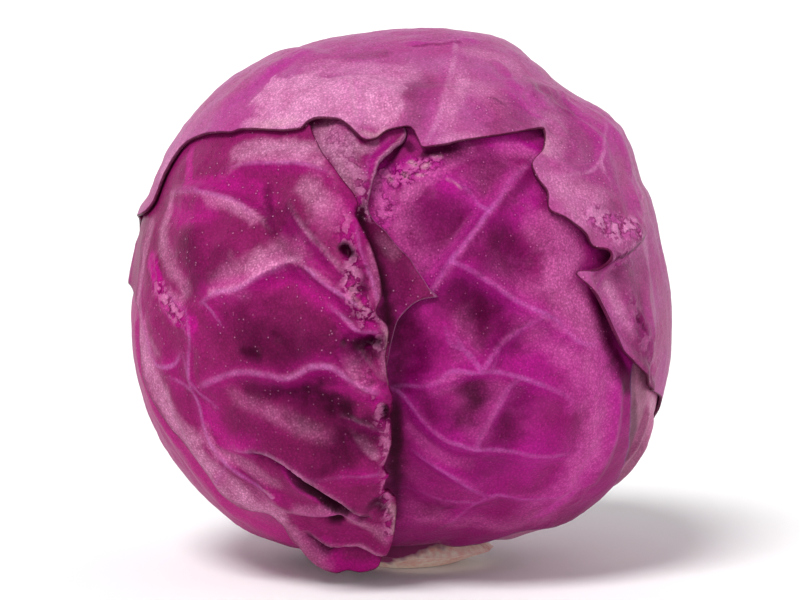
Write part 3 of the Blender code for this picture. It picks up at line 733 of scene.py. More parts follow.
front_left_pleats = (
    (9, 5, ((-54, 32.5, 0.3), (-48.5, 36, 0.8), (-42.5, 38.5, 1.6), (-31.5, 38, 1.8), (-22.5, 36.5, 1.4),
        (-18, 33, 0.6))),
    (9, 4, ((-36.5, 19, 0.4), (-39.5, 23.5, 1.4), (-44, 26.5, 1.8), (-52, 29.5, 1.6), (-59.5, 30.5, 1.4),
        (-65.5, 30.5, 0.7))),
    (8, 3, ((-32, 28, 0.5), (-26.5, 19.5, 1.4), (-19.5, 12, 1.6), (-13, 4.5, 1.2), (-10.5, 1, 0.5))),
    (10, 4.5, ((-56, -1, 0.3), (-51, 2, 1.0), (-45.5, 3, 1.6), (-38, 7.5, 2.2), (-31.5, 10.5, 2.6),
        (-26.5, 9.5, 2.6), (-20.5, 5, 2.2), (-15, 0.5, 1.6), (-11.5, -1.5, 0.8))),
    (10, 5, ((-55.5, -24, 0.5), (-51, -22, 1.0), (-44, -20, 1.2), (-38, -20.5, 1.2), (-30.5, -21.5, 1.6),
        (-24.5, -18.5, 2.0), (-19, -18, 2.0), (-14, -21, 1.6), (-6.5, -25, 0.8))),
    (8, 2.4, ((-49, -40.5, 0.3), (-44, -41, 1.0), (-40, -41, 1.6), (-33, -42, 2.6), (-26.5, -44.5, 3.4),
        (-21, -49, 3.8), (-16.5, -53, 3.8), (-12, -57, 3.0), (-9, -60, 1.4))),
    (5, 2, ((-26.5, -62.5, 0.6), (-20.5, -66.5, 2.0), (-15, -68, 2.4), (-8.5, -68.5, 2.2),
        (-3, -69.5, 1.2))),
    (3, 1.6, ((-25.5, 9, 0.4), (-20.5, 4.5, 1.0), (-15, 1, 1.2), (-11.5, -1.5, 0.7))),
    (3, 1.8, ((-20.5, -1, 0.5), (-15.5, -5, 1.2), (-11.5, -8, 1.5), (-6, -9, 1.0))),
    (3, 1.5, ((-16.5, -14, 0.4), (-13, -20, 0.9), (-8.5, -24.5, 0.9), (-4, -26.5, 0.5))),
    (3, 1.5, ((-13, -10.5, 0.4), (-9, -16.5, 0.9), (-4.5, -22, 0.8))),
    (3, 1.5, ((-15, -34.5, 0.4), (-11, -40, 0.7), (-7, -44, 0.8), (-4, -46.5, 0.5))),
    (4, 2.5, ((-17.5, -32.5, 0.4), (-13, -33, 0.9), (-7.5, -36, 1.0), (-3.5, -37, 0.6))),
)
print("ridges, pleats:", len(front_left_ridges), len(front_left_pleats))

# %% [markdown]
# ### Front left leaf: dents and crumples
#
# The dents are small pits along the lip, up to 2.2 mm deep. The crumples are bruised strips: one all
# along the lip, one beside it, one at the far left and one under the edge of the top leaf.

# %% Front left leaf: dents and crumples
front_left_dents = (
    (-41, -15, 3.0, 1.0),
    (-34.5, -9.5, 3.0, 0.6),
    (-19, -61, 4.5, 2.2),
    (-14, 14, 2.6, 2.2),
    (-9, -11.5, 3.8, 2.2),
    (-4.5, -31.5, 2.2, 2.2),
    (-11, 24, 2.2, 1.6),
    (-4.5, -47.5, 2.2, 1.8),
    (-30, -28, 6, 0.8),
)
front_left_crumples = (
    (6, 2.6, ((-15, 23.5, 0.7), (-13, 15, 1.5), (-11, 3, 1.8), (-10.5, -8.5, 1.8), (-9, -19.5, 1.8),
        (-5.5, -33, 1.0), (-5.5, -42.5, 0.8), (-4, -55, 1.0), (-3.5, -66, 0.8))),
    (5, 3.4, ((-27.5, 8.5, 0.5), (-20.5, 3, 0.9), (-18, -5.5, 0.7))),
    (5, 3.0, ((-69.5, 10.5, 0.5), (-68.5, 4, 0.9), (-65, -1.5, 1.3), (-59.5, -7, 1.0))),
    (7, 3.0, ((-41.5, 42.5, 0.25), (-31.5, 42, 0.3), (-25, 41, 0.25))),
)
print("dents, crumples:", len(front_left_dents), len(front_left_crumples))

# %% [markdown]
# ### Front left leaf: veins
#
# The strongest vein runs down the left side, and the others follow the crests of the folds. Ribs are
# veins on the far side, given by bearing and elevation, because the picture doesn't show them.

# %% Front left leaf: veins
front_left_veins = (
    (0.7, ((-34.5, -53, 1), (-40, -49.5, 0.7), (-45.5, -46, 0.9), (-50.5, -42, 1), (-54, -36, 1),
        (-56, -28.5, 1), (-57.5, -24.5, 0.9), (-59, -15.5, 0.8), (-58.5, -10.5, 0.8), (-60, -4, 0.6),
        (-63.5, -1, 0.5), (-66, 2, 0.3))),
    (0.7, ((-73.5, 5.5, 0.3), (-72.5, -5, 0.6), (-68.5, -17, 0.9), (-65, -18.5, 1), (-63, -18, 1),
        (-61.5, -15.5, 0.6))),
    (0.6, ((-61, -14.5, 0.3), (-58.5, -21, 0.7), (-55, -26, 0.8), (-50.5, -30, 0.4))),
    (0.6, ((-63.5, -21.5, 0.4), (-59.5, -23.5, 0.7), (-57, -26, 0.8))),
    (0.8, ((-56, -1, 0.3), (-51, 2, 0.8), (-45.5, 3, 0.8), (-39, 6.5, 0.4), (-31.5, 10, 0.3))),
    (0.9, ((-55, -24, 0.4), (-51, -22, 0.7), (-44, -20, 0.6), (-38, -20.5, 0.5), (-30.5, -21.5, 0.6),
        (-24.5, -18.5, 1), (-19, -18, 1), (-14, -21, 0.6), (-6.5, -25, 0.6))),
    (0.6, ((-51, 37, 0.1), (-43, 38, 0.5), (-35, 38, 0.8), (-24.5, 36.5, 0.6), (-19.5, 34.5, 0.3))),
    (0.7, ((-65, 30.5, 0.2), (-58, 30.5, 0.5), (-51.5, 29.5, 0.8), (-45.5, 27.5, 0.5), (-41.5, 24, 0.3))),
    (0.6, ((-62, 32, 0.4), (-56.5, 31, 0.7))),
    (0.6, ((-19.5, -1.5, 0.3), (-15, -5, 0.8), (-11, -8.5, 0.9), (-6.5, -9, 0.5))),
    (0.6, ((-25.5, 9, 0.6), (-20.5, 4.5, 0.9), (-15, 1, 0.9), (-11.5, -1.5, 0.8))),
    (0.5, ((-11.5, 20.5, 0.3), (-10.5, 14, 0.7), (-7.5, 5.5, 0.9), (-6, 0, 0.8))),
    (0.6, ((-44, -41, 0.4), (-33, -41.5, 0.2), (-19.5, -47, 0.2), (-6, -48, 0.6))),
    (0.6, ((-27.5, -58.5, 0.3), (-19.5, -57.5, 0.6), (-12.5, -60.5, 0.3))),
    (0.5, ((-55, -0.5, 0.7), (-53, -3.5, 0.8), (-50.5, -7, 0.4))),
    (0.5, ((-47.5, -45, 0.4), (-49.5, -49, 0.7), (-50, -50.5, 0.4))),
)
front_left_ribs = (
    (1.8, ((-78, -22, 0.6), (-92, -8, 0.8), (-108, 6, 0.8), (-124, 18, 0.5))),
    (1.4, ((-80, -2, 0.4), (-92, 14, 0.7), (-104, 30, 0.5))),
    (1.3, ((-98, -2, 0.6), (-112, -1, 0.5), (-126, 4, 0.3))),
)
print("veins, ribs:", len(front_left_veins), len(front_left_ribs))

# %% [markdown]
# ### Front left leaf: pale bloom
#
# The pale strokes lie on the crests of the folds and down the left side, and leave out the hollows.
# Narrow strokes draw the crests as painted highlight, and those at the far left edge add a painted
# sheen; wide ones are the dusty panels, where the wax is whole.

# %% Front left leaf: pale bloom
front_left_bloom_and_highlight = (
    (4, 3.5, ((-71, 20.5, 0.5), (-73.5, 9.5, 0.6), (-74, -5.5, 0.6))),
    (5, 3.5, ((-45.5, 42, 0.6), (-36, 42.5, 0.9), (-27.5, 41.5, 0.9), (-22.5, 38.5, 0.4))),
    (2, 1.8, ((-44, 39.5, 0.5), (-31.5, 39, 0.7), (-22, 37, 0.6))),
    (3, 2.5, ((-54, 29, 0.5), (-46.5, 26.5, 0.7), (-41.5, 23, 0.5))),
    (5, 4, ((-26, 31, 0.5), (-21.5, 26, 0.6), (-18, 23.5, 0.3))),
    (6, 5, ((-51, 5, 0.3), (-44, 7.5, 0.6), (-36, 12.5, 0.6), (-30, 14, 0.4))),
    (1.8, 1.6, ((-53, 2, 0.8), (-47.5, 3, 1), (-44, 4, 0.8), (-38, 8.5, 0.7), (-31.5, 11, 0.6),
        (-27.5, 10.5, 0.5))),
    (4, 3.5, ((-65, 29, 0.5), (-67.5, 20.5, 0.6), (-66, 11, 0.5), (-61, 4, 0.4))),
    (8, 6, ((-73, -8.5, 0.9), (-69, -20.5, 0.95), (-62, -33, 0.9), (-54, -44.5, 0.9), (-44, -53, 0.9),
        (-36, -57.5, 0.7))),
    (3, 2.5, ((-54, -36, 0.6), (-50.5, -42, 0.8), (-44, -44.5, 0.5), (-34.5, -49.5, 0.4))),
    (4, 3, ((-66, 1, 0.8), (-63, -1, 0.7))),
    (4, 4, ((-45.5, -27, 0.3), (-36, -31, 0.35), (-27.5, -34.5, 0.4), (-20.5, -37.5, 0.2))),
    (3, 2.5, ((-27.5, -57.5, 0.4), (-18, -56.5, 0.5), (-11, -63.5, 0.6), (-4, -66, 0.6))),
    (4, 3, ((-34.5, -58.5, 0.5), (-26, -65, 0.4), (-20.5, -69.5, 0.3))),
    (4, 3.5, ((-12.5, -18, 0.5), (-9, -23.5, 0.5))),
    (2.4, 2, ((-7.5, 14, 0.4), (-6, 3, 0.6), (-4, -8.5, 0.6), (-3.5, -19.5, 0.5))),
    (1.6, 1.4, ((-4, -37.5, 0.5), (-3.5, -44, 0.5))),
    (2, 1.8, ((-11, -38.5, 0.4), (-7, -43.5, 0.5))),
)
print("bloom:", len(front_left_bloom_and_highlight))

# %% [markdown]
# ### Front left leaf: bright and deep places
#
# The hollows under the folds are among the darkest parts of the whole head, and the flushes lie beside
# them. The narrow deep strokes along the hollows are painted shade, and the broad ones darker skin.

# %% Front left leaf: bright and deep places
front_left_flush = (
    (2.4, 1.2, ((-59.5, 42, 1), (-60, 38.5, 1), (-60.5, 33.5, 1))),
    (4, 3, ((-59.5, 33, 0.7), (-51, 33.5, 0.7), (-41.5, 32.5, 0.5), (-38, 27.5, 0.5))),
    (5, 4, ((-65.5, 26, 0.7), (-60.5, 23.5, 0.7), (-54, 25.5, 0.6))),
    (3.5, 2, ((-71, 11.5, 1), (-69.5, 7, 1), (-67.5, 1.5, 0.9), (-63.5, -3.5, 0.9), (-59, -7, 0.9))),
    (4, 3, ((-38, 5.5, 0.7), (-30.5, 7.5, 0.9), (-23.5, 2, 0.7), (-18, -2, 0.6))),
    (4, 3, ((-55, 3, 0.6), (-44, 4.5, 0.6), (-33, 10.5, 0.5))),
    (5, 4, ((-37, -22, 0.5), (-27.5, -25.5, 0.4), (-14, -23.5, 0.6), (-7, -26, 0.8))),
    (5, 4, ((-52.5, -32.5, 0.7), (-48.5, -38.5, 0.8), (-41.5, -40, 0.6))),
    (2.2, 2, ((-31.5, -45.5, 0.9), (-26, -51, 1), (-20.5, -54.5, 0.9), (-18, -57, 0.8))),
    (3, 2, ((-21.5, -66, 0.6), (-15, -71, 0.8), (-7, -71, 0.6))),
    (5, 4, ((-19.5, 25, 0.5), (-14, 23.5, 0.6), (-13, 18, 0.6))),
    (5, 4, ((-31.5, 20.5, 0.6), (-27.5, 15, 0.5), (-22, 10.5, 0.5))),
    (4, 3, ((-14, -47, 0.4), (-7, -49.5, 0.6), (-4, -51, 0.6))),
    (4, 3, ((-15, -8.5, 0.5), (-14, -14, 0.7))),
)
front_left_deep_and_shade = (
    (13, 11, ((-40, -9.5, 0.55), (-27.5, -12.5, 0.5), (-20.5, -14, 0.4))),
    (7, 6, ((-14, -38.5, 0.9), (-9.5, -36, 0.9), (-15, -42.5, 0.7))),
    (3.5, 3, ((-13, -11, 0.9), (-7.5, -13, 0.9), (-10.5, -17, 0.6))),
    (9, 8, ((-44, -34.5, 0.35), (-33, -38.5, 0.4), (-22, -42.5, 0.4))),
    (6, 5, ((-31.5, 18, 0.6), (-34.5, 23.5, 0.5), (-27.5, 8.5, 0.4))),
    (6, 5, ((-41.5, -24.5, 0.7), (-31.5, -25, 0.95), (-25, -27.5, 1), (-15, -30, 1))),
    (2.4, 2, ((-43.5, -14, 0.8), (-39.5, -16, 0.8))),
    (1.5, 1.2, ((-36, -9.5, 0.5), (-33, -11.5, 0.4))),
    (2.4, 1.6, ((-40, -41.5, 1), (-33, -43, 1), (-26.5, -46.5, 1), (-20.5, -51.5, 1), (-15, -56, 1),
        (-10, -60, 0.9))),
    (4, 2.5, ((-33, -43.5, 0.4), (-25, -48.5, 0.5), (-16.5, -55.5, 0.45))),
    (1.8, 1.2, ((-25, -64, 0.8), (-18, -68, 1), (-11, -69, 1), (-3, -70, 1))),
    (2.6, 1.8, ((-20, -61, 1), (-18, -62, 1))),
    (8, 7, ((-59.5, 16.5, 0.5), (-56.5, 5.5, 0.5), (-51, 11, 0.4))),
    (2.8, 2.4, ((-38, 31.5, 0.6), (-38, 25, 0.8), (-37, 20, 0.6))),
    (2.4, 2, ((-31.5, 26, 0.7), (-26.5, 19, 0.7), (-19.5, 10.5, 0.7))),
    (3.4, 2, ((-12.5, -11.5, 1), (-6.5, -11, 1))),
    (2.2, 1.4, ((-15.5, 14, 1), (-12.5, 12.5, 1), (-13, 8.5, 0.8))),
    (1.6, 1, ((-4.5, -30, 1), (-3.5, -34, 1))),
    (4, 3, ((-15, 1.5, 0.7), (-12.5, -5, 0.6), (-8.5, -5.5, 0.6))),
    (3, 2, ((-14, 7, 0.8), (-10.5, 3, 0.7), (-12.5, 10.5, 0.7))),
    (5, 4, ((-19.5, -19.5, 0.3), (-14, -14, 0.5))),
    (1.5, 1.2, ((-44, -46.5, 0.4), (-39.5, -49, 0.6), (-35.5, -52.5, 0.5))),
    (1.6, 1.4, ((-15.5, -31, 0.9), (-11, -34, 0.9), (-7, -36.5, 0.5))),
    (7, 6, ((-27.5, -31.5, 0.6), (-16.5, -34.5, 0.6), (-19.5, -40, 0.3))),
    (9, 7, ((-48.5, -8.5, 0.3), (-27.5, -17, 0.45), (-16.5, -12.5, 0.35))),
    (2, 1.6, ((-7, -56.5, 0.8), (-4.5, -60.5, 0.7))),
)
print("flush, deep:", len(front_left_flush), len(front_left_deep_and_shade))

# %% [markdown]
# ### Front left leaf: slits and torn places
#
# Gap strokes are painted shade in the slits where a fold stands clear of the skin below, and in the pits
# along the lip.
# Crinkles and scars follow the bruised lip.

# %% Front left leaf: slits and torn places
front_left_gap_shade = (
    (1.7, 1.3, ((-39, -42, 0.7), (-33, -43.5, 0.9), (-26.5, -46.5, 1), (-20.5, -51.5, 1), (-15, -56, 1),
        (-10, -60, 0.9))),
    (3.2, 1.6, ((-28.5, -46.5, 0.6), (-24.5, -49.5, 0.95), (-19.5, -54, 1), (-15, -57.5, 0.9))),
    (1.3, 1.0, ((-24.5, -64.5, 0.6), (-19.5, -68, 0.9), (-12.5, -69, 0.9), (-3.5, -70, 0.9))),
    (1.8, 1.3, ((-20, -61, 0.8), (-18, -62, 0.8))),
    (1.8, 1.2, ((-15.5, 14, 0.9), (-13, 12.5, 0.9))),
    (1.8, 1.4, ((-11.5, -11.5, 0.7), (-6.5, -11.5, 0.8))),
    (1.1, 0.8, ((-4.5, -30.5, 0.8), (-4, -33.5, 0.8))),
    (1.0, 0.8, ((-11, 25.5, 0.8), (-11.5, 23, 0.7))),
    (1.4, 1.2, ((-6.5, -56.5, 0.5), (-4.5, -60, 0.7))),
)
front_left_crinkle = (
    (3, 2, ((-15, 20.5, 0.4), (-13, 10.5, 0.7), (-13, 3, 0.9), (-9.5, -3.5, 1), (-7.5, -11, 0.7))),
    (3.5, 2.5, ((-69, 4, 0.5), (-65, -1, 1), (-60, -5.5, 0.6))),
    (2.4, 2, ((-9, -20, 0.4), (-5.5, -31, 0.8), (-4, -38.5, 0.5), (-4, -56.5, 0.6), (-3, -66, 0.7))),
)
front_left_scar = (
    (0.8, 0.6, ((-36.5, -51.5, 0.6), (-34.5, -53, 0.8))),
    (0.8, 0.6, ((-13, 3, 0.5), (-11.5, -1, 0.9), (-10, -2, 0.8))),
    (1.2, 0.8, ((-3, -60.5, 0.6), (-1, -63.5, 0.8), (-2, -65.5, 0.7))),
    (0.7, 0.5, ((-4, -8.5, 0.6), (-3, -14, 0.7), (-3, -23.5, 0.5))),
)
print("gap, crinkle, scar:", len(front_left_gap_shade), len(front_left_crinkle), len(front_left_scar))

# %% [markdown]
# ### Front left leaf: all together
#
# The lists become one leaf. It could be one long call, but short lists are easier to change.

# %% Front left leaf: all together
front_left = Leaf("front_left_leaf", "front_left_leaf", seen((-36, -6))[0], front_left_margin,
    ridges=front_left_ridges, pleats=front_left_pleats, dents=front_left_dents,
    crumples=front_left_crumples, veins=front_left_veins, ribs=front_left_ribs, bloom=front_left_bloom_and_highlight,
    flush=front_left_flush, deep=front_left_deep_and_shade, gap=front_left_gap_shade, crinkle=front_left_crinkle,
    scar=front_left_scar)
print(front_left.size())

# %% [markdown]
# ## The top leaf
#
# The outermost leaf wraps the top, the right side and the back. Its torn edge crosses the front, and
# a flap hangs from it at the right. On the back it has a midrib with side veins, as such leaves have.
#
# The torn edge across the front was read off point by point, with the flap at the right. From there
# the margin runs round the back, low down, and comes up again at the left.

# %% Top leaf: margin
top_margin = (
    seen((-72, 24.5), (-69, 30.5), (-65.5, 37), (-60.5, 43.5), (-55, 46), (-47.5, 46.5), (-44, 47.5),
         (-36, 47.5), (-28, 47), (-25.5, 49), (-22.5, 50), (-18, 50), (-14, 48.5), (-10.5, 46.5),
         (-7, 47.5), (-4, 49.5), (0, 49.5), (3, 48.5), (5, 45), (6.5, 42.5), (12.5, 43), (16.5, 44),
         (22, 45), (31.5, 46.5), (39, 48), (40.3, 47), (40, 42.5), (37.5, 39.5), (37, 37.5), (38.5, 33.5),
         (40.8, 30), (41, 25), (45.5, 22), (49.5, 19), (53.5, 15), (56, 13.8), (56.5, 12), (56, 9.5),
         (53.5, 8), (49, 8), (49.5, 6), (52.5, 2.5), (56.5, -3), (59.5, -12.5), (62.5, -16.5),
         (66, -20.5), (69, -24.5), (72, -28))
    + at((105, -30), (125, -36), (145, -46), (162, -58), (178, -67), (-160, -60), (-148, -48),
         (-132, -30), (-118, -8), (-106, 5), (-95, 16))
)
print("margin:", len(top_margin), "places read off")

# %% [markdown]
# ### Top leaf: folds
#
# The torn edge curls up a little, which gives it the thin shadow below. Over the top the skin has
# only low swells. The flap at the right has the sharpest folds.

# %% Top leaf: folds
top_ridges = (
    (5, ((-66, 37, 0.1), (-47.5, 46.5, 0.2), (-28, 47, 0.3), (-20, 50, 0.6), (-8, 47, 0.5), (1, 49, 0.9),
        (6.5, 42.5, 1.2), (22, 45, 0.6), (40, 47, 1.0), (38, 36, 0.8), (41, 27, 0.9), (50, 18, 1.5))),
    (4, ((56.5, 12, 2.2), (52, 9, 2.2), (52.5, 2.5, 2.6), (59.5, -12.5, 2.4), (69, -24.5, 1.6))),
    (8, ((55, 53.5, 0.6), (62.5, 40.5, 1.2), (68.5, 28, 0.8))),
    (9, ((62, 6, 1.0), (64, -6, 1.6), (68, -16, 1.0))),
    (6, ((67.5, 22, 1.0), (60, 17, 1.6), (53, 21, 1.0))),
    (12, ((-27.5, 59.5, 0.5), (-11, 60.5, 0.8), (0, 58, 0.4))),
    (7, ((-48.5, 55, 0.5), (-38, 63.5, 0.6), (-27.5, 68.5, 0.4))),
    (4, ((29, 65, 0.4), (34.5, 58, -0.6), (33, 51, -0.5))),
    (5, ((55, 41.5, 0.5), (58.5, 33, 0.6), (55, 27.5, 0.4))),
    (2.5, ((61, 1, 0.3), (65, -5, -0.7), (66, -9.5, -0.4))),
    (3, ((70.5, 14, 0.3), (69, 0, 0.7), (70.5, -14, 0.5))),
    (2, ((44, 59.5, -0.3), (48.5, 53, -0.5), (52.5, 48, -0.3))),
    (2, ((59.5, 49, -0.3), (64, 38.5, -0.5), (66, 28, -0.3))),
    (2, ((-13, 64, 0.2), (-12.5, 58, -0.4), (-12, 50, -0.3))),
)
top_pleats = (
    (8, 5, ((15.5, 71, 0.4), (13, 61.5, 1.0), (9.5, 50, 0.4))),
    (3, 2, ((21, 72, 0.3), (17, 72, 0.9), (10, 72, 0.9), (4, 73, 0.6), (1.5, 73, 0.2))),
    (6, 3, ((54, 9.5, 1.6), (60, 12.5, 2.0), (64, 15, 1.8), (67.5, 18, 1.0))),
    (4, 2.5, ((49, 51, 0.3), (54.5, 44, 0.8), (54.5, 37, 0.5), (52.5, 35.5, 0.2))),
)
print("ridges, pleats:", len(top_ridges), len(top_pleats))

# %% [markdown]
# ### Top leaf: dents and crumples
#
# A few dents make the skin uneven near the top and beside the flap. The crumples are the rough bruise
# at the right and the strip along the flap.

# %% Top leaf: dents and crumples
top_dents = (
    (60, 9, 4, 0.9),
    (44, 66, 5, 0.4),
    (50, 38, 8, 0.6),
)
top_crumples = (
    (5, 3.2, ((53, 23.5, 0.9), (57.5, 20.5, 1.4), (61, 20, 1.2), (64.5, 19, 0.6))),
    (5, 3.0, ((58.5, 14, 0.5), (62, 10.5, 0.8), (66, 14, 0.6))),
    (9, 7.0, ((44, 47, 0.8), (52.5, 30.5, 0.9), (66, 27.5, 0.9))),
    (10, 6.0, ((27.5, 63.5, 0.6), (36, 56.5, 0.9), (44, 58, 0.7))),
    (7, 4.0, ((62, 0, 0.7), (66, -8.5, 0.8), (70.5, -19.5, 0.7))),
)
print("dents, crumples:", len(top_dents), len(top_crumples))

# %% [markdown]
# ### Top leaf: veins
#
# In front only a few veins show through the bloom. On the far side the leaf gets a midrib that rises
# from the stem, with side veins, as the outer leaves of a cabbage have.

# %% Top leaf: veins
top_veins = (
    (0.8, ((15.5, 71, 0.8), (15, 66.5, 0.7), (14, 62, 0.4), (12.5, 56.5, 0.3), (11, 51, 0.5),
        (7.5, 44, 0.6))),
    (0.6, ((56, 48.5, 0.2), (56, 45.5, 0.7), (55, 42.5, 0.8), (54.5, 38, 0.9), (52.5, 35.5, 0.7),
        (47, 34.5, 0.4), (39.5, 33.5, 0.2))),
    (0.5, ((54.5, 37.5, 0.8), (57, 33, 0.4), (58, 29, 0.2))),
    (0.7, ((60, 48, 0.2), (63, 40, 0.5), (66, 33, 0.4), (69, 25, 0.5))),
    (0.6, ((-14, 63, 0.3), (-13, 56.5, 0.6), (-12, 51, 0.5))),
)
top_ribs = (
    (3.6, ((152, -64, 1.0), (153, -40, 1.0), (152, -12, 1.0), (146, 18, 0.9), (134, 46, 0.8),
        (100, 66, 0.6), (50, 72, 0.3))),
    (1.8, ((153, -44, 0.8), (134, -28, 0.8), (118, -16, 0.5), (106, -8, 0.3))),
    (1.8, ((153, -38, 0.8), (172, -22, 0.8), (-172, -8, 0.5), (-160, 2, 0.3))),
    (1.7, ((152, -14, 0.8), (130, 2, 0.8), (112, 10, 0.5), (98, 14, 0.3))),
    (1.7, ((151, -8, 0.8), (172, 10, 0.8), (-170, 24, 0.5), (-152, 34, 0.3))),
    (1.5, ((146, 16, 0.8), (122, 30, 0.7), (104, 36, 0.5), (84, 38, 0.3))),
    (1.5, ((144, 22, 0.8), (170, 42, 0.7), (-165, 54, 0.5), (-120, 62, 0.3))),
    (1.2, ((172, -22, 0.6), (-178, -6, 0.5), (-170, 4, 0.2))),
    (1.2, ((130, 2, 0.6), (124, 18, 0.4), (116, 24, 0.2))),
)
print("veins, ribs:", len(top_veins), len(top_ribs))

# %% [markdown]
# ### Top leaf: pale bloom
#
# This leaf has the most wax, over the top and the upper left, where the head is dry and dusty. The
# strongest strokes there are also a painted highlight where the light falls, and they thin out towards
# the right.

# %% Top leaf: pale bloom
top_bloom_and_highlight = (
    (9, 1.8, ((-31, 58, 0.9), (-19.5, 57.5, 0.95), (-6, 57.5, 0.9))),
    (7, 4, ((-36.5, 54, 0.7), (-27.5, 52, 0.9), (-15, 53, 0.9), (-4, 54, 0.7))),
    (7, 5, ((-22, 65.5, 0.45), (-11, 66, 0.6), (0.5, 64, 0.6))),
    (4, 3, ((-41.5, 49, 0.7), (-30.5, 48.5, 0.8), (-27.5, 50, 0.5))),
    (4, 3.5, ((14.5, 66, 0.5), (17, 59.5, 0.7), (11, 48.5, 0.5))),
    (5, 4, ((19.5, 69, 0.4), (27.5, 67.5, 0.5), (33, 63.5, 0.3))),
    (6, 5, ((20, 60.5, 0.35), (23, 57.5, 0.4), (26.5, 55, 0.2))),
    (5, 3, ((42.5, 42.5, 0.6), (44, 49.5, 0.5), (41.5, 46.5, 0.5))),
    (8, 7, ((44, 31.5, 0.5), (52.5, 27.5, 0.6), (48.5, 23.5, 0.5))),
    (5, 3, ((54.5, 21.5, 0.8), (58.5, 19.5, 0.9), (62, 20, 0.7))),
    (5, 4, ((66, 33, 0.3), (69, 23.5, 0.5), (70.5, 14, 0.4))),
    (3, 2.5, ((58, 4, 0.6), (60.5, -3, 0.6), (63, -9.5, 0.4))),
    (1.6, 1.4, ((62, 10.5, 0.7), (66, 14.5, 0.8), (68.5, 17, 0.6))),
    (5, 4, ((-56.5, 50, 0.3), (-63, 41.5, 0.5), (-66, 37, 0.6))),
    (1.4, 1.2, ((54.5, 37, 0.9), (55.5, 35.5, 0.7))),
    (2.6, 2.2, ((22, 45, 0.3), (15, 44.5, 0.5), (11, 44, 0.6))),
)
print("bloom:", len(top_bloom_and_highlight))

# %% [markdown]
# ### Top leaf: bright and deep places
#
# Thin wax shows as flushes towards the crown and the right edge, and as dusky purple on the flap. The
# narrow deep strokes in the creases of the flap and under the small folds are painted shade.

# %% Top leaf: bright and deep places
top_flush = (
    (5, 4, ((55, 52.5, 0.4), (63, 37, 0.4), (68.5, 19.5, 0.4))),
    (0.9, 0.8, ((44, 59, 0.5), (48.5, 53, 0.8), (52.5, 47.5, 0.6))),
    (0.9, 0.8, ((59.5, 49.5, 0.5), (64, 38.5, 0.8), (66, 27.5, 0.6))),
    (0.8, 0.7, ((33, 55.5, 0.5), (37, 52, 0.8), (42, 50.5, 0.5))),
    (0.8, 0.7, ((58, 12.5, 0.6), (57, 7, 0.8), (55, 3, 0.6))),
    (5, 4, ((-48.5, 52, 0.5), (-38, 61, 0.8), (-27.5, 68.5, 0.7))),
    (3, 2.5, ((4, 72.5, 0.7), (11, 72.5, 0.8), (19.5, 72, 0.8))),
    (4, 3, ((31.5, 62, 0.5), (32.5, 55, 0.6), (38.5, 55.5, 0.5))),
    (7, 6, ((52.5, 49.5, 0.5), (55, 42.5, 0.7), (59.5, 47, 0.5))),
    (4, 3, ((7, 58, 0.3), (8.5, 49.5, 0.4))),
    (6, 5, ((48.5, 54, 0.4), (44, 38.5, 0.3))),
    (4, 3, ((71.5, 8.5, 0.4), (73, 0, 0.4))),
    (2, 1.6, ((-5.5, 58.5, 0.5), (-4, 56.5, 0.3))),
    (5, 4, ((60.5, 30.5, 0.4), (65, 25, 0.5))),
)
top_deep_and_shade = (
    (16, 14, ((48.5, 44, 0.45), (55, 30.5, 0.25), (62, 16.5, 0.3), (65, 0, 0.3))),
    (6, 5, ((3, 56.5, 0.6), (7, 62, 0.4), (4, 49.5, 0.5))),
    (7, 5, ((24.5, 51.5, 0.2), (33, 52.5, 0.45), (27.5, 48.5, 0.45))),
    (7, 6, ((38.5, 59.5, 0.5), (45.5, 55, 0.4))),
    (7, 6, ((60, 10.5, 0.4), (63.5, 4, 0.5), (66, -5.5, 0.6), (67.5, -16.5, 0.5))),
    (2.2, 1.7, ((54.5, 8, 0.9), (60, 11.5, 1), (64, 14, 0.9), (68, 17.5, 0.7))),
    (6, 5, ((63, -11, 0.6), (66, -18, 0.7), (69, -25, 0.7))),
    (1.0, 0.9, ((4, 72, 0.7), (11, 71.5, 0.7), (16.5, 71.5, 0.7))),
    (5, 4, ((-5.5, 70.5, 0.4), (-14, 69.5, 0.3))),
    (1.2, 1, ((65.5, -1, 0.5), (66.5, -6, 0.8), (67.5, -8.5, 0.5))),
    (0.8, 0.7, ((56, 24.5, 0.4), (54.5, 21, 0.7), (56, 17.5, 0.5))),
)
print("flush, deep:", len(top_flush), len(top_deep_and_shade))

# %% [markdown]
# ### Top leaf: slits and torn places
#
# The gap strokes are painted shade in the sharp creases of the flap and in one small nick near the
# crown. The crinkles are the bruise at the right, and the scars lie mostly along the torn edge, where
# the leaf has dried.

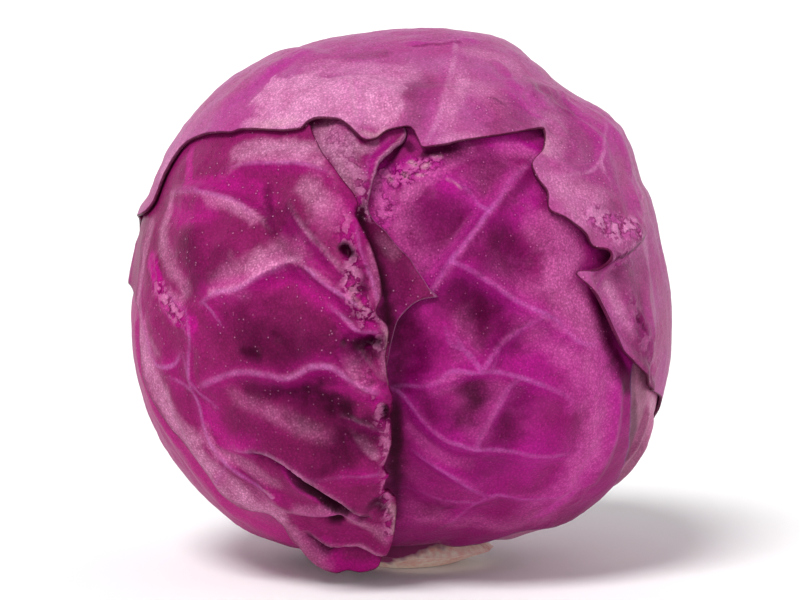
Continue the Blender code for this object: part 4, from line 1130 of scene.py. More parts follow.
# %% Top leaf: slits and torn places
top_gap_shade = (
    (0.9, 0.8, ((55.5, 9, 0.4), (60, 11.5, 0.7), (63.5, 13.5, 0.8), (67.5, 17, 0.6))),
    (0.5, 0.45, ((24.5, 56, 0.4), (26.5, 55.5, 0.6), (29, 54, 0.5))),
    (0.5, 0.45, ((65, -1.5, 0.4), (66, -6, 0.7), (67, -8.5, 0.5))),
)
top_crinkle = (
    (5, 3, ((53, 22.5, 0.9), (57, 20.5, 1), (60.5, 20, 1), (64, 19.5, 0.9))),
    (4, 3, ((59.5, 10.5, 0.3), (63, 13, 0.4), (66, 16.5, 0.3))),
    (5, 4, ((63.5, 0, 0.25), (66.5, -9.5, 0.3), (69.5, -19.5, 0.25))),
)
top_scar = (
    (2.2, 1.5, ((-40, 48.5, 0.3), (-34.5, 49, 0.5), (-29, 49.5, 0.3))),
    (1.2, 1.0, ((-14, 62, 0.3), (-13, 56.5, 0.4), (-12.5, 52, 0.4))),
    (1.5, 1, ((-10.5, 48, 0.5), (-7, 48, 0.6), (-4.5, 49.5, 0.4))),
    (2.0, 1.5, ((40, 45.5, 0.4), (40.5, 41.5, 0.4))),
)
print("gap, crinkle, scar:", len(top_gap_shade), len(top_crinkle), len(top_scar))

# %% [markdown]
# ### Top leaf: all together
#
# The lists become one leaf. It could be one long call, but short lists are easier to change.

# %% Top leaf: all together
top = Leaf("top_leaf", "top_leaf", at((120, 50))[0], top_margin, ridges=top_ridges, pleats=top_pleats,
    dents=top_dents, crumples=top_crumples, veins=top_veins, ribs=top_ribs, bloom=top_bloom_and_highlight,
    flush=top_flush, deep=top_deep_and_shade, gap=top_gap_shade, crinkle=top_crinkle, scar=top_scar)
print(top.size())

# %% [markdown]
# ### All six
#
# The order of this list says which leaf lies over which, from the innermost out.

# %% The six leaves in order
LEAVES = [lower_right, lower_left, front_right, tucked, front_left, top]
print(len(LEAVES), "leaves with", sum(len(leaf.veins) for leaf in LEAVES), "veins")

# %% [markdown]
# ## From a description to a sheet
#
# Points are spread evenly over the head, close together where the leaf shows and wider apart where it
# is covered or turned away. Laid out flat with the margin as a fixed border, they are joined into even
# triangles, and every point is then lifted to its height. The leaf lies on what is under it, so it
# steps up over lower margins, and its relief fades out where an upper leaf covers it.

# %% Points and triangles
def even_directions(spacing):
    count = int(4.0 * math.pi * MEAN_RADIUS ** 2 / (0.87 * spacing ** 2))
    i = np.arange(count) + 0.5
    z = 1.0 - 2.0 * i / count
    turn = i * math.pi * (1.0 + math.sqrt(5.0))
    ring = np.sqrt(1.0 - z * z)
    return np.stack((ring * np.cos(turn), z, ring * np.sin(turn)), axis=1)


FINE_SPOTS, COARSE_SPOTS = even_directions(FINE), even_directions(COARSE)


def sheet(leaf, upper):
    """The leaf's points as directions, and its triangles."""
    parts = []
    for spots, spacing, fine in ((FINE_SPOTS, FINE, True), (COARSE_SPOTS, COARSE, False)):
        spots = spots[leaf.holds(spots)]
        shows = spots[:, 1] < 0.2
        for other in upper:
            shows &= ~(other.holds(spots) & (other.outside(spots) < -5.0))
        spots = spots[shows == fine]
        parts.append(spots[leaf.outside(spots) < -0.6 * spacing])
    d = np.concatenate([leaf.outline] + parts)
    count = len(leaf.outline)
    edges = [(i, (i + 1) % count) for i in range(count)]
    _, _, faces, origins, _, _ = delaunay_2d_cdt([tuple(p) for p in leaf.lay(d)], edges, [], 1, 1e-9)
    return d[[o[0] for o in origins]], faces


def rough(d, size, seed):
    """Smooth noise of about one size in millimetres, from -1 to 1."""
    scale = MEAN_RADIUS / size
    shift = Vector((seed * 7.1, seed * 3.3, seed * 5.7))
    return np.array([noise.noise(Vector(p) * scale + shift) for p in d])


print(len(FINE_SPOTS), "fine and", len(COARSE_SPOTS), "coarse spots all over the head")

# %% [markdown]
# ## From the notes on a leaf to its form
#
# The notes on each leaf now turn into heights. A ridge is a rounded rise along its line. A pleat is a
# fold: it swells up to the line on one side and drops off steeply on the other. A crumple is a rough
# strip, as where the lip of the leaf was bruised. A displacement map could draw this too, but then the
# shape would be only in the picture of the leaf, and not in the mesh.

# %% Form of a leaf
LEAF_THICKNESS = 0.8  # mm, a guess at what outer leaves have
LEAF_PITCH = 1.5      # mm from one leaf to the next, with the air between them
STEP_WIDTH = 7.0      # mm that a leaf needs to step down over a margin
CLEAR_OF_MARGIN, RELIEF_FADE = 2.0, 5.0  # mm beyond a margin over it where a leaf's relief comes in
LOWEST = -0.6         # mm that a leaf may sink below its place, so it can't cut into the one below
PADS, PUCKERS, CREASES = 14.0, 5.0, 1.9  # mm across
VEIN_FOOT = 2.4       # times a vein's own width


def wrinkle(d, size, seed):
    """Sharp little creases between rounded pads, about one size apart, from -1 to 1."""
    return 1.0 - 3.0 * np.abs(rough(d, size, seed)) - 0.5 * rough(d, size / 2, seed + 1)


def relief_of(leaf, d):
    """How far the leaf's own form stands out, in mm."""
    swell = 0.5 + 0.5 * smooth(2.0 * d[:, 1])  # stronger behind, where no folds were read off
    relief = swell * rough(d, PADS, len(leaf.name))
    relief = relief + 0.22 * rough(d, PUCKERS, 3) + 0.1 * rough(d, CREASES, 4)
    for width, line in leaf.ridges:
        away, height, _ = to_line(d, line, width)
        relief += height * bump(away / width)
    for rise, drop, line in leaf.pleats:
        away, height, side = to_line(d, line, max(rise, 3 * drop))
        high = height * bump(away / rise)
        low = height * (1.35 * bump(away / drop) - 0.35 * bump(away / (3 * drop)))
        relief += np.where(side > 0, high, low)
    for middle, radius, depth in leaf.dents:
        relief -= depth * bump(np.linalg.norm(d - middle, axis=1) * MEAN_RADIUS / radius)
    for number, (width, size, line) in enumerate(leaf.crumples):
        away, height, _ = to_line(d, line, width)
        on = np.nonzero(away < width)[0]
        relief[on] += 0.75 * height[on] * bump(away[on] / width) * wrinkle(d[on], size, number)
    for width, line in leaf.veins:
        away, strength, _ = to_line(d, line, VEIN_FOOT * width)
        relief += 0.5 * width * strength * bump(away / (VEIN_FOOT * width))
    return relief


print("pads", PADS, "mm across, puckers", PUCKERS, "mm and creases", CREASES, "mm")

# %% [markdown]
# ## Lying on each other
#
# A leaf follows the head and whatever lies under it. Over each margin below, it steps down softly. Where
# another leaf covers it, its own relief fades out, and nothing sinks below a small depth. A collision
# solver could find such a rest, but these two rules give the same look at once, every time.

# %% Heights of a leaf
def heights(leaf, d, lower, upper):
    """Distance of each of the leaf's points from the head's centre."""
    radius = head_radius(d)
    for other in lower:
        radius += LEAF_PITCH * (1.0 - smooth((other.outside(d) - 1.0) / STEP_WIDTH))
    shown = np.ones(len(d))
    for other in upper:
        shown *= smooth((other.outside(d) - CLEAR_OF_MARGIN) / RELIEF_FADE)
    relief = relief_of(leaf, d)
    return radius + np.where(relief < 0.0, LOWEST * (1.0 - np.exp(relief / -LOWEST)), relief) * shown


print("lying flat on one leaf below lifts a leaf by", LEAF_PITCH, "mm")

# %% [markdown]
# ## Masks for the skin
#
# A mask is one number for each point of a sheet: how far the nearest vein or margin is, or how strongly
# a tint shows there. The skin reads them by name later. The edges of the tints are made ragged with
# noise, because nothing on a leaf ends in a clean line.

# %% Masks
VEIN_REACH = 9.0             # times a vein's width
FOLD_REACH = 5.0             # mm from a fold
CREST_HIGH, CREST_LOW = 1.7, 0.6  # mm of lit crest on a fold's high and low side
UNDER_FROM, UNDER_WIDTH = 0.5, 3.6  # mm from the fold to where its band of painted shade fades


def masks_of(leaf, d):
    """What the skin needs at each point: distances in mm to the nearest vein and margin, and tints."""
    masks = {"edge": -leaf.outside(d, 3.0)}
    vein, strong = np.full(len(d), VEIN_REACH), np.zeros(len(d))
    for width, line in leaf.veins:
        away, strength, _ = to_line(d, line, VEIN_REACH * width)
        closer = away / width < vein
        vein[closer] = (away / width)[closer]
        strong[closer] = strength[closer]
    masks["vein"], masks["vein_strength"] = vein, strong
    # Every fold has a lit crest on its high side, a painted highlight, and a rich, darker band of painted
    # shade just under it.
    crest, under = np.zeros(len(d)), np.zeros(len(d))
    for _, _, line in leaf.pleats:
        away, height, side = to_line(d, line, FOLD_REACH)
        strength = np.clip((height - 0.4) / 1.9, 0.0, 1.0)  # folds under 0.4 mm have no crest of their own
        lit = 1.0 - smooth(away / np.where(side > 0, CREST_HIGH, CREST_LOW))
        dark = (side < 0) * (1.0 - smooth((away - UNDER_FROM) / UNDER_WIDTH))
        crest = np.maximum(crest, strength * lit)
        under = np.maximum(under, strength * dark)
    masks["crest"], masks["under"], masks["shade"] = crest, under, under ** 2
    ragged = 1.0 + 0.5 * rough(d, 6.0, 11) + 0.3 * rough(d, 2.2, 12)
    for tint, strokes in leaf.tints.items():
        bare = np.ones(len(d))
        for width, edge, line in strokes:
            away, strength, _ = to_line(d, line, 1.4 * width)
            bare *= 1.0 - strength * smooth((width - away * ragged) / edge)
        masks[tint] = 1.0 - bare
    # Wax and painted highlight are thin where the skin is deep or painted shade lies, and nothing shows in
    # the gaps, which are painted shade.
    masks["bloom"] *= 1.0 - 0.75 * masks["deep"]
    masks["crinkle"] *= 1.0 - masks["gap"]
    masks["vein_strength"] *= 1.0 - masks["gap"]
    return masks


print("masks:", ", ".join(masks_of(top, top.outline[:3])))

# %% [markdown]
# ## A waxy skin
#
# The leaf of a red cabbage is one thin sheet: cells full of purple dye under a colourless film of wax.
# Where the wax is whole it blooms pale and dull. Where it is rubbed or wet, the dye shows deep and rich.
# So one skin serves all leaves. A body colour wanders a little, and coloured layers are mixed over it
# where the masks of the last step say so. Some layers are painted highlight on lit crests, and some
# painted shade in slits, hollows and under folds.
#
# A shader is a tree of nodes. `add` makes one node, gives it its settings, links what goes into it,
# and hands back the output that the next node needs. Inputs have names or numbers: 0, 6 and 7 of a Mix
# node are the factor and the two colours, and 1 to 4 of a Map Range node are the ends of the range that
# it reads and of the one that it gives.

# %% Nodes
def linear(colour):
    """An sRGB hex colour as linear red, green, blue and alpha."""
    parts = [int(colour[i:i + 2], 16) / 255 for i in (0, 2, 4)]
    return tuple(p / 12.92 if p <= 0.04045 else ((p + 0.055) / 1.055) ** 2.4 for p in parts) + (1.0,)


def add(tree, kind, inputs=(), output=0, **settings):
    """Add one node with its settings and links, and return one of its outputs."""
    node = tree.nodes.new(kind)
    for name, value in settings.items():
        setattr(node, name, value)
    for key, value in dict(inputs).items():
        if isinstance(value, bpy.types.NodeSocket):
            tree.links.new(value, node.inputs[key])
        else:
            node.inputs[key].default_value = value
    return node.outputs[output]


print("magenta in linear numbers:", [round(c, 3) for c in linear("b0107e")])

# %% [markdown]
# ## The layers of colour
#
# Each layer follows one mask. Nothing on a leaf is evenly coloured, so a noise breaks each layer into
# patches, whose size in mm is the second number. The next two say how strongly the layer shows in its
# thinnest and thickest patches. The fifth is how far the grains of wax break it up.

# %% Layers
# under and shade are painted shade below each fold, crest is a painted highlight on it, gap is painted
# shade, deep is darker skin and painted shade, and bloom is wax bloom and painted highlight
LAYERS = (  # mask, patch size in mm, least, most, how grainy, tint
    ("flush", 2.5, 0.7, 1.0, 0.0, "flush"),
    ("deep", 4.0, 0.75, 1.0, 0.0, "deep"),
    ("bloom", 5.0, 0.5, 0.95, 0.4, "bloom"),
    ("under", 3.0, 0.5, 0.7, 0.0, "flush"),
    ("shade", 3.0, 0.5, 0.7, 0.0, "deep"),
    ("crest", 2.5, 0.1, 0.62, 0.2, "bloom"),
    ("crinkle", 2.6, 0.5, 0.7, 0.0, "flush"),
    ("scar", 1.5, 0.7, 0.9, 0.0, "scar"),
    ("gap", 1.5, 0.95, 1.0, 0.0, "gap"),
)
SCAR, GAP_SHADE = "cc98a8", "2a0016"  # dried pale tissue, and painted shade in the dark gaps between leaves
CLOUDS, FLUSHES = 9.0, 22.0     # mm across, from the clouds and flushes in the picture


def lay_colours(tree, place, grain, tints, seed, wander):
    """The body colour of a leaf with its layers over it."""
    clouds = add(tree, "ShaderNodeTexNoise", {"Vector": place, "W": seed + 5.0, "Detail": 5.0,
                                              "Scale": 1.0 / (CLOUDS * MM)}, noise_dimensions="4D")
    clouds = add(tree, "ShaderNodeMapRange", {0: clouds, 1: 0.3, 2: 0.7})
    colour = add(tree, "ShaderNodeMix", {0: clouds, 6: linear(tints["body"]), 7: linear(tints["dull"])},
                 output=2, data_type="RGBA")
    flushes = add(tree, "ShaderNodeTexNoise", {"Vector": place, "W": seed + 9.0, "Detail": 3.0,
                                               "Scale": 1.0 / (FLUSHES * MM)}, noise_dimensions="4D")
    flushes = add(tree, "ShaderNodeMapRange", {0: flushes, 1: 0.45, 2: 0.7, 3: 0.0, 4: wander})
    colour = add(tree, "ShaderNodeMix", {0: flushes, 6: colour, 7: linear(tints["flush"])},
                 output=2, data_type="RGBA")
    for number, (mask, patch, least, most, grainy, tint) in enumerate(LAYERS):
        here = add(tree, "ShaderNodeAttribute", output="Fac", attribute_name=mask)
        amount = add(tree, "ShaderNodeTexNoise", {"Vector": place, "W": seed + number, "Detail": 4.0,
                                                  "Scale": 1.0 / (patch * MM)}, noise_dimensions="4D")
        amount = add(tree, "ShaderNodeMapRange", {0: amount, 1: 0.3, 2: 0.63, 3: least, 4: most},
                     interpolation_type="SMOOTHSTEP")
        amount = add(tree, "ShaderNodeMath", {0: amount, 1: here}, operation="MULTIPLY")
        broken = add(tree, "ShaderNodeMath", {0: grain, 1: grainy, 2: 1.0 - grainy},
                     operation="MULTIPLY_ADD")
        amount = add(tree, "ShaderNodeMath", {0: amount, 1: broken}, operation="MULTIPLY")
        colour = add(tree, "ShaderNodeMix", {0: amount, 6: colour, 7: linear(tints[tint])},
                     output=2, data_type="RGBA")
    return colour


print(len(LAYERS), "layers:", ", ".join(layer[0] for layer in LAYERS))

# %% [markdown]
# ## Creases, veins and the rim
#
# Torn and crumpled places show ragged pale folds a few mm long, with a line of painted shade along one
# side. Veins show through the skin as soft pale lines, a little broken, with a rich halo of dye along
# them. The thin rim of each leaf is dark, partly because there the cut cells have dried and partly as
# painted shade for the thin shadow along a margin.

# %% Finer marks
TORN_FOLDS, VEIN_BREAKS = 2.6, 3.0  # mm across
VEIN_LINE, VEIN_HALO = 1.5, 6.0     # times a vein's own width
CUT_EDGE = 0.35                     # mm


def lay_marks(tree, place, colour, tints, seed):
    """Crumples, veins and the rim over the colours, and how far each spot is folded up."""
    crinkle = add(tree, "ShaderNodeAttribute", output="Fac", attribute_name="crinkle")
    torn = add(tree, "ShaderNodeTexNoise", {"Vector": place, "W": seed + 11.0, "Detail": 4.0,
                                            "Scale": 1.0 / (TORN_FOLDS * MM)}, noise_dimensions="4D")
    folded = add(tree, "ShaderNodeMapRange", {0: torn, 1: 0.5, 2: 0.56}, interpolation_type="SMOOTHSTEP")
    folded = add(tree, "ShaderNodeMath", {0: folded, 1: crinkle}, operation="MULTIPLY")
    # beside and beyond mark a thin line along one side of each fold, painted there as shade
    beside = add(tree, "ShaderNodeMapRange", {0: torn, 1: 0.42, 2: 0.49}, interpolation_type="SMOOTHSTEP")
    beyond = add(tree, "ShaderNodeMapRange", {0: torn, 1: 0.495, 2: 0.52}, interpolation_type="SMOOTHSTEP")
    shaded = add(tree, "ShaderNodeMath", {0: beside, 1: beyond}, operation="SUBTRACT")
    shaded = add(tree, "ShaderNodeMath", {0: shaded, 1: crinkle}, operation="MULTIPLY")
    near = add(tree, "ShaderNodeAttribute", output="Fac", attribute_name="vein")
    strength = add(tree, "ShaderNodeAttribute", output="Fac", attribute_name="vein_strength")
    broken = add(tree, "ShaderNodeTexNoise", {"Vector": place, "W": seed + 3.0, "Detail": 3.0,
                                              "Scale": 1.0 / (VEIN_BREAKS * MM)}, noise_dimensions="4D")
    broken = add(tree, "ShaderNodeMapRange", {0: broken, 1: 0.32, 2: 0.6, 3: 0.3, 4: 1.0})
    broken = add(tree, "ShaderNodeMath", {0: broken, 1: strength}, operation="MULTIPLY")
    line = add(tree, "ShaderNodeMapRange", {0: near, 1: 0.1, 2: VEIN_LINE, 3: 0.5, 4: 0.0},
               interpolation_type="SMOOTHSTEP")
    line = add(tree, "ShaderNodeMath", {0: line, 1: broken}, operation="MULTIPLY")
    halo = add(tree, "ShaderNodeMapRange", {0: near, 1: 0.5, 2: VEIN_HALO, 3: 0.38, 4: 0.0},
               interpolation_type="SMOOTHSTEP")
    halo = add(tree, "ShaderNodeMath", {0: halo, 1: strength}, operation="MULTIPLY")
    rim = add(tree, "ShaderNodeAttribute", output="Fac", attribute_name="edge")
    rim = add(tree, "ShaderNodeMapRange", {0: rim, 1: 0.05, 2: CUT_EDGE, 3: 0.85, 4: 0.0},
              interpolation_type="SMOOTHSTEP")
    for amount, most, tint in ((folded, 0.55, "bloom"), (shaded, 0.75, "deep"), (halo, 1.0, "flush"),
                               (line, 1.0, "vein"), (rim, 1.0, "edge")):
        amount = add(tree, "ShaderNodeMath", {0: amount, 1: most}, operation="MULTIPLY")
        colour = add(tree, "ShaderNodeMix", {0: amount, 6: colour, 7: linear(tints[tint])},
                     output=2, data_type="RGBA")
    return colour, folded


print("a vein shows as a line", VEIN_LINE, "times its width, in a halo", VEIN_HALO, "times its width")

# %% [markdown]
# ## Wax grains and water drops
#
# Seen close, the wax is a fine stipple of grains 0.3 to 0.8 mm across, drawn coarser than the real ones
# so that they show at this distance. The head in the picture is wet, so tiny drops stand on it, about
# one to every 2 mm and more of them on the upper half. Each drop is a small raised dot, smoother than
# the skin, with a painted glint in its middle and a ring of painted shade around its foot.

# %% Grain and drops
GRAINS, DUST = 0.75, 0.45  # mm apart; real wax grains are far finer, and are drawn coarser to show
DROPS = 1.7                # mm apart; many real drops are finer than this
DRIEST, WETTEST = 45.0, 95.0  # mm above the table; more drops lie higher up


def wax_grain(tree, place, seed):
    """A stipple from 0 to about 1.1."""
    dots = add(tree, "ShaderNodeTexVoronoi", {"Vector": place, "Scale": 1.0 / (GRAINS * MM)},
               output="Distance")
    dots = add(tree, "ShaderNodeMapRange", {0: dots, 1: 0.15, 2: 0.55, 3: 0.6, 4: 0.0},
               interpolation_type="SMOOTHSTEP")
    dust = add(tree, "ShaderNodeTexNoise", {"Vector": place, "W": seed, "Scale": 1.0 / (DUST * MM),
                                            "Detail": 3.0}, noise_dimensions="4D")
    dust = add(tree, "ShaderNodeMapRange", {0: dust, 1: 0.36, 2: 0.66, 3: 0.0, 4: 0.5},
               interpolation_type="SMOOTHSTEP")
    return add(tree, "ShaderNodeMath", {0: dots, 1: dust}, operation="ADD")


def lay_drops(tree, place, colour, tints):
    """Water drops over the colour, with a painted glint and a painted shadow ring, and where they are."""
    away = add(tree, "ShaderNodeTexVoronoi", {"Vector": place, "Scale": 1.0 / (DROPS * MM)},
               output="Distance")
    picked = add(tree, "ShaderNodeMapRange", {0: away.node.outputs["Color"], 1: 0.3, 2: 0.42})
    up = add(tree, "ShaderNodeSeparateXYZ", {0: place}, output="Z")
    up = add(tree, "ShaderNodeMapRange", {0: up, 1: DRIEST * MM, 2: WETTEST * MM, 3: 0.25, 4: 1.0})
    picked = add(tree, "ShaderNodeMath", {0: picked, 1: up}, operation="MULTIPLY")
    drop = add(tree, "ShaderNodeMapRange", {0: away, 1: 0.12, 2: 0.3, 3: 1.0, 4: 0.0},
               interpolation_type="SMOOTHSTEP")
    drop = add(tree, "ShaderNodeMath", {0: drop, 1: picked}, operation="MULTIPLY")
    foot_shade = add(tree, "ShaderNodeMath", {0: away, 1: 0.27, 2: 0.09}, operation="COMPARE")
    foot_shade = add(tree, "ShaderNodeMath", {0: foot_shade, 1: picked}, operation="MULTIPLY")
    foot_shade = add(tree, "ShaderNodeMath", {0: foot_shade, 1: 0.14}, operation="MULTIPLY")
    glint = add(tree, "ShaderNodeMapRange", {0: away, 1: 0.05, 2: 0.16, 3: 0.6, 4: 0.0})
    glint = add(tree, "ShaderNodeMath", {0: glint, 1: picked}, operation="MULTIPLY")
    # the foot ring is painted shade and the glint a painted highlight
    for amount, tint in ((foot_shade, "deep"), (glint, "bloom")):
        colour = add(tree, "ShaderNodeMix", {0: amount, 6: colour, 7: linear(tints[tint])},
                     output=2, data_type="RGBA")
    return colour, drop


print("a drop may stand every", DROPS, "mm, and wax grains every", GRAINS, "mm")

# %% [markdown]
# ## The whole skin
#
# The Principled shader takes the colour, a roughness and a bump. Waxy leaf is satin: its roughness is
# about 0.4, a little more where the bloom is thick and less on a drop. Plant wax has an IOR of about
# 1.4. The reflections are kept dim, as in the picture, where the deep places are almost free of them.

# %% One skin
WAX_IOR, WAX_SHINE = 1.4, 0.06
SATIN, DULLED, WETTED = 0.4, 0.16, -0.25       # roughness, and what full bloom or a drop adds to it
GRAIN_HEIGHT, DROP_HEIGHT, FOLD_HEIGHT = 0.22, 0.9, 1.8
BUMP_DEPTH = 0.25                              # mm for a height of 1


def leaf_skin(name, seed, wander, **tints):
    """The waxy skin of one leaf, from its colours as sRGB hex."""
    made = bpy.data.materials.new(name)
    made.use_nodes = True
    tree = made.node_tree
    shader = tree.nodes["Principled BSDF"]
    place = add(tree, "ShaderNodeTexCoord", output="Object")
    tints.update(scar=SCAR, gap=GAP_SHADE)
    grain = wax_grain(tree, place, seed)
    colour = lay_colours(tree, place, grain, tints, seed, wander)
    colour, folded = lay_marks(tree, place, colour, tints, seed)
    stipple = add(tree, "ShaderNodeMapRange", {0: grain, 1: 0.0, 2: 1.0, 3: 0.72, 4: 1.1})
    colour = add(tree, "ShaderNodeMix", {0: 1.0, 6: colour, 7: stipple}, output=2, data_type="RGBA",
                 blend_type="MULTIPLY")
    colour, drop = lay_drops(tree, place, colour, tints)
    tree.links.new(colour, shader.inputs["Base Color"])
    dull = add(tree, "ShaderNodeAttribute", output="Fac", attribute_name="bloom")
    dull = add(tree, "ShaderNodeMath", {0: dull, 1: DULLED, 2: SATIN}, operation="MULTIPLY_ADD")
    dull = add(tree, "ShaderNodeMath", {0: drop, 1: WETTED, 2: dull}, operation="MULTIPLY_ADD")
    tree.links.new(dull, shader.inputs["Roughness"])
    height = add(tree, "ShaderNodeMath", {0: grain, 1: GRAIN_HEIGHT}, operation="MULTIPLY")
    height = add(tree, "ShaderNodeMath", {0: drop, 1: DROP_HEIGHT, 2: height}, operation="MULTIPLY_ADD")
    height = add(tree, "ShaderNodeMath", {0: folded, 1: FOLD_HEIGHT, 2: height}, operation="MULTIPLY_ADD")
    bumped = add(tree, "ShaderNodeBump", {"Strength": 0.6, "Distance": BUMP_DEPTH * MM, "Height": height})
    tree.links.new(bumped, shader.inputs["Normal"])
    shader.inputs["IOR"].default_value = WAX_IOR
    shader.inputs["Specular IOR Level"].default_value = WAX_SHINE
    return made


print("roughness", SATIN, "in bare places,", SATIN + DULLED, "under full bloom")

# %% [markdown]
# ## Six sets of colours
#
# Each leaf has the same skin in colours of its own, because each one grew, dried and was rubbed in its
# own way. One material for all would be simpler, but the leaves would run into each other.

# %% Six skins
SKINS = {
    # dry and dusty: the thickest wax, over pinkish purple, with a painted highlight on the upper left
    "top_leaf": leaf_skin("waxy top leaf", 1, 0.5, body="aa4680", dull="b05c94", deep="6c1048",
                          flush="b02c8c", bloom="e298c4", vein="dc98c4", edge="4e0a2c"),
    # dark plum, rubbed almost bare, with painted shade in its hollows and painted highlight on its pale
    # crests
    "front_left_leaf": leaf_skin("waxy front left leaf", 2, 0.2, body="8c1c60", dull="7a1850",
                                 deep="34001e", flush="b0107e", bloom="dc92bc", vein="c070b4",
                                 edge="5a0a34"),
    # deep magenta with little wax, so it is the richest, and a bluish edge that is a painted highlight
    # along its lit margin
    "front_right_leaf": leaf_skin("waxy front right leaf", 3, 0.5, body="84125c", dull="92266c",
                                  deep="48002c", flush="b01288", bloom="d066a8", vein="bc62b0",
                                  edge="7c4a98"),
    # dull plum and moist, with a pale edge
    "tucked_leaf": leaf_skin("waxy tucked leaf", 4, 0.5, body="801f56", dull="6c1846", deep="3c0020",
                             flush="a01678", bloom="da98bc", vein="c07cac", edge="905078"),
    # fresh and bright, because the other leaves kept it covered
    "lower_left_leaf": leaf_skin("waxy lower left leaf", 5, 0.5, body="a8307a", dull="a02c72",
                                 deep="6a0048", flush="b4207c", bloom="cc84ac", vein="c070a8",
                                 edge="7c0f4c"),
    # pale, dusky and dry, as an old outer leaf is
    "lower_right_leaf": leaf_skin("waxy lower right leaf", 6, 0.5, body="d088ac", dull="bc6892",
                                  deep="480026", flush="a83a7c", bloom="d8a4bc", vein="c088a8",
                                  edge="742048"),
}
print(len(SKINS), "skins,", len(SKINS["top_leaf"].node_tree.nodes), "nodes each")

# %% [markdown]
# ## Make the leaves
#
# Each leaf becomes one thin sheet. Its points go to their distances from the head's centre, the masks
# are stored on the points, and a Solidify modifier gives the sheet the thickness of an outer leaf,
# inwards from its outer face.

# %% Leaves
for k, leaf in enumerate(LEAVES):
    lower, upper = LEAVES[:k], LEAVES[k + 1:]
    d, faces = sheet(leaf, upper)
    radius = heights(leaf, d, lower, upper)
    mesh = bpy.data.meshes.new(leaf.name + "_sheet")
    mesh.from_pydata(((HEAD_CENTRE + d * radius[:, None]) * MM).tolist(), [], faces)
    mesh.shade_smooth()
    for name, values in masks_of(leaf, d).items():
        mesh.attributes.new(name, "FLOAT", "POINT").data.foreach_set("value", values.astype(np.float32))
    mesh.materials.append(SKINS[leaf.name])
    piece = bpy.data.objects.new(leaf.name + "_sheet", mesh)
    bpy.context.scene.collection.objects.link(piece)
    shell = piece.modifiers.new("thickness", "SOLIDIFY")
    shell.thickness = LEAF_THICKNESS * MM
    shell.offset = -1.0
    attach(piece, "root")
    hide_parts(leaf.name)
    print(leaf.name, len(mesh.vertices), "points", len(mesh.polygons), "triangles")

# %% [markdown]
# ## The cut stem and the heart
#
# The stem was cut across with a knife. Its face is pale, moist and stringy: bundles of fibres run up
# it, stained a little pink. A few mm above the cut it turns into the thick purple bases of the leaves.
# The heart shows only through gaps, so it stays the plain solid in a dark leaf colour, darkened as
# painted shade. Both are nodes of the solid model, and they only get a better material.

# %% A stalk's material
FIBRES, STAINS = 1.6, 9.0  # mm across, as the bundles in a cut stalk are
STALK_ROUGHNESS, STALK_SHINE = 0.6, 0.25


def stalk(name, pale, dark, leafy=None):
    """Fibrous stalk, or leaf in shade, in two colours, with leaf colour above the cut if given."""
    made = bpy.data.materials.new(name)
    made.use_nodes = True
    tree = made.node_tree
    shader = tree.nodes["Principled BSDF"]
    place = add(tree, "ShaderNodeTexCoord", output="Object")
    upright = add(tree, "ShaderNodeMapping", {"Vector": place, "Scale": (1.0, 1.0, 0.25)})
    fibres = add(tree, "ShaderNodeTexNoise", {"Vector": upright, "Detail": 4.0,
                                              "Scale": 1.0 / (FIBRES * MM)})
    stains = add(tree, "ShaderNodeTexNoise", {"Vector": place, "Detail": 3.0,
                                              "Scale": 1.0 / (STAINS * MM)})
    amount = add(tree, "ShaderNodeMath", {0: fibres, 1: stains}, operation="MULTIPLY")
    amount = add(tree, "ShaderNodeMapRange", {0: amount, 1: 0.18, 2: 0.42})
    colour = add(tree, "ShaderNodeMix", {0: amount, 6: linear(pale), 7: linear(dark)}, output=2,
                 data_type="RGBA")
    if leafy:
        # The border is wavy and slants up to the right, as the knife left it.
        up = add(tree, "ShaderNodeSeparateXYZ", {0: place}, output="Z")
        border = add(tree, "ShaderNodeMath", {0: stains, 1: -9.0 * MM, 2: up}, operation="MULTIPLY_ADD")
        border = add(tree, "ShaderNodeMath", {0: up.node.outputs["X"], 1: -0.2, 2: border},
                     operation="MULTIPLY_ADD")
        amount = add(tree, "ShaderNodeMapRange", {0: border, 1: -1.2 * MM, 2: 0.4 * MM})
        colour = add(tree, "ShaderNodeMix", {0: amount, 6: colour, 7: linear(leafy)}, output=2,
                     data_type="RGBA")
    tree.links.new(colour, shader.inputs["Base Color"])
    bumped = add(tree, "ShaderNodeBump", {"Strength": 0.5, "Distance": 0.3 * MM, "Height": fibres})
    tree.links.new(bumped, shader.inputs["Normal"])
    shader.inputs["Roughness"].default_value = STALK_ROUGHNESS
    shader.inputs["Specular IOR Level"].default_value = STALK_SHINE
    return made


print("fibres about", FIBRES, "mm apart, stains about", STAINS, "mm across")

# %% [markdown]
# ### Dress the two solids
#
# The solids came in with plain colours. Putting a new material into their slots leaves their shapes as
# they are, so nothing has to be replaced.

# %% Stem and heart
def dress(node, material):
    """Give a node of the solid model a better material."""
    for piece in bpy.context.scene.objects:
        if piece.type == "MESH" and piece.name.startswith(node):
            for slot in piece.material_slots:
                slot.material = material
            print(piece.name, "gets", material.name)


dress("stem", stalk("cut cabbage stalk", "ffeadc", "f2b0a6", "9c3c72"))
dress("heart", stalk("inner leaves in shade", "6e1848", "3c0a26"))

# %% [markdown]
# ## Floor
#
# The picture shows the head cut out on white, so it stands on a plain pale floor that curves up far
# behind it, like a paper sweep in a studio. It is a shallow bowl here, so it works from every side.

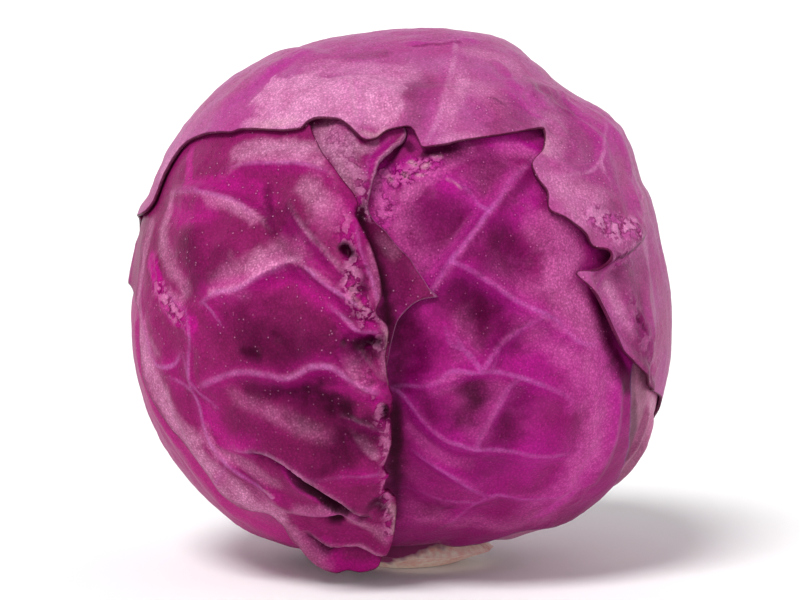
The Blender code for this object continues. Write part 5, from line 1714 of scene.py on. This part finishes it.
# %% Floor
# distance from the middle and height, both in metres
BOWL = ((0.0, 0.0), (1.6, 0.0), (2.6, 0.12), (3.6, 0.5), (4.6, 1.2), (5.4, 2.2), (5.9, 3.4), (6.1, 4.6))
BOWL_SIDES = 96
bowl_mesh = bpy.data.meshes.new("floor")
bowl_points, bowl_faces = [(0.0, 0.0, 0.0)], []
for r, z in BOWL[1:]:
    for s in range(BOWL_SIDES):
        turn = 2.0 * math.pi * s / BOWL_SIDES
        bowl_points.append((r * math.cos(turn), r * math.sin(turn), z))
for s in range(BOWL_SIDES):
    bowl_faces.append((0, 1 + s, 1 + (s + 1) % BOWL_SIDES))
    for ring in range(len(BOWL) - 2):
        first, second = 1 + ring * BOWL_SIDES, 1 + (ring + 1) * BOWL_SIDES
        following = (s + 1) % BOWL_SIDES
        bowl_faces.append((first + s, second + s, second + following, first + following))
bowl_mesh.from_pydata(bowl_points, [], bowl_faces)
bowl_mesh.shade_smooth()
floor = bpy.data.objects.new("floor", bowl_mesh)
bpy.context.scene.collection.objects.link(floor)
paper = bpy.data.materials.new("matt white paper")
paper.use_nodes = True
paper_skin = paper.node_tree.nodes["Principled BSDF"].inputs  # dull and even, so the eye passes over it
paper_skin["Base Color"].default_value = linear("f7f7f7")
paper_skin["Roughness"].default_value = 0.9
paper_skin["Specular IOR Level"].default_value = 0.0
bowl_mesh.materials.append(paper)
floor.visible_shadow = False  # the bowl's raised wall lets the low light through
print("floor:", len(bowl_faces), "faces, flat out to", BOWL[1][0], "m")

# %% [markdown]
# ## Light
#
# The light in the picture comes softly from the upper left and front, with a little more from low in
# front that brightens the underside. Large, soft sources do this in a studio. Here two suns with wide
# angles and a white surrounding do.

# %% Light
world = bpy.data.worlds.new("studio")
bpy.context.scene.world = world
world.use_nodes = True
world.node_tree.nodes["Background"].inputs["Color"].default_value = (1.0, 1.0, 1.0, 1.0)
world.node_tree.nodes["Background"].inputs["Strength"].default_value = 0.36
# name, where it shines from, strength and angle in degrees, which sets how soft its shadows are
SUNS = (("soft key", (-0.45, -0.85, 1.25), 2.6, 22.0), ("low fill", (0.05, -1.0, 0.02), 0.5, 50.0))
for name, shines_from, strength, angle in SUNS:
    sun = bpy.data.lights.new(name, "SUN")
    sun.energy, sun.angle = strength, math.radians(angle)
    lamp = bpy.data.objects.new(name, sun)
    lamp.rotation_euler = Vector(shines_from).to_track_quat("Z", "Y").to_euler()
    bpy.context.scene.collection.objects.link(lamp)
    print(name, "shines at", strength)

# %% [markdown]
# ## Camera
#
# The camera stands at the angle and distance that the outlines of the head were read from, so that
# the 150 mm width spans as many pixels as in the picture.

# %% Camera
SENSOR = 36.0  # mm
PICTURE_PIXELS, HEAD_PIXELS, HEAD_WIDTH = 800, 544, 150  # the head spans 544 of 800 pixels and 150 mm
camera_data = bpy.data.cameras.new("camera")
camera_data.sensor_width = SENSOR
camera_data.lens = SENSOR * VIEW_DISTANCE / (PICTURE_PIXELS * HEAD_WIDTH / HEAD_PIXELS)
camera = bpy.data.objects.new("camera", camera_data)
towards_viewer = np.array((0, -math.cos(VIEW_RISE), math.sin(VIEW_RISE)))
camera.location = (HEAD_CENTRE + VIEW_DISTANCE * towards_viewer) * MM
camera.rotation_euler = (math.pi / 2 - VIEW_RISE, 0.0, 0.0)
bpy.context.scene.collection.objects.link(camera)
bpy.context.scene.camera = camera
bpy.context.scene.view_settings.view_transform = "Standard"
print("lens:", round(camera_data.lens, 1), "mm")
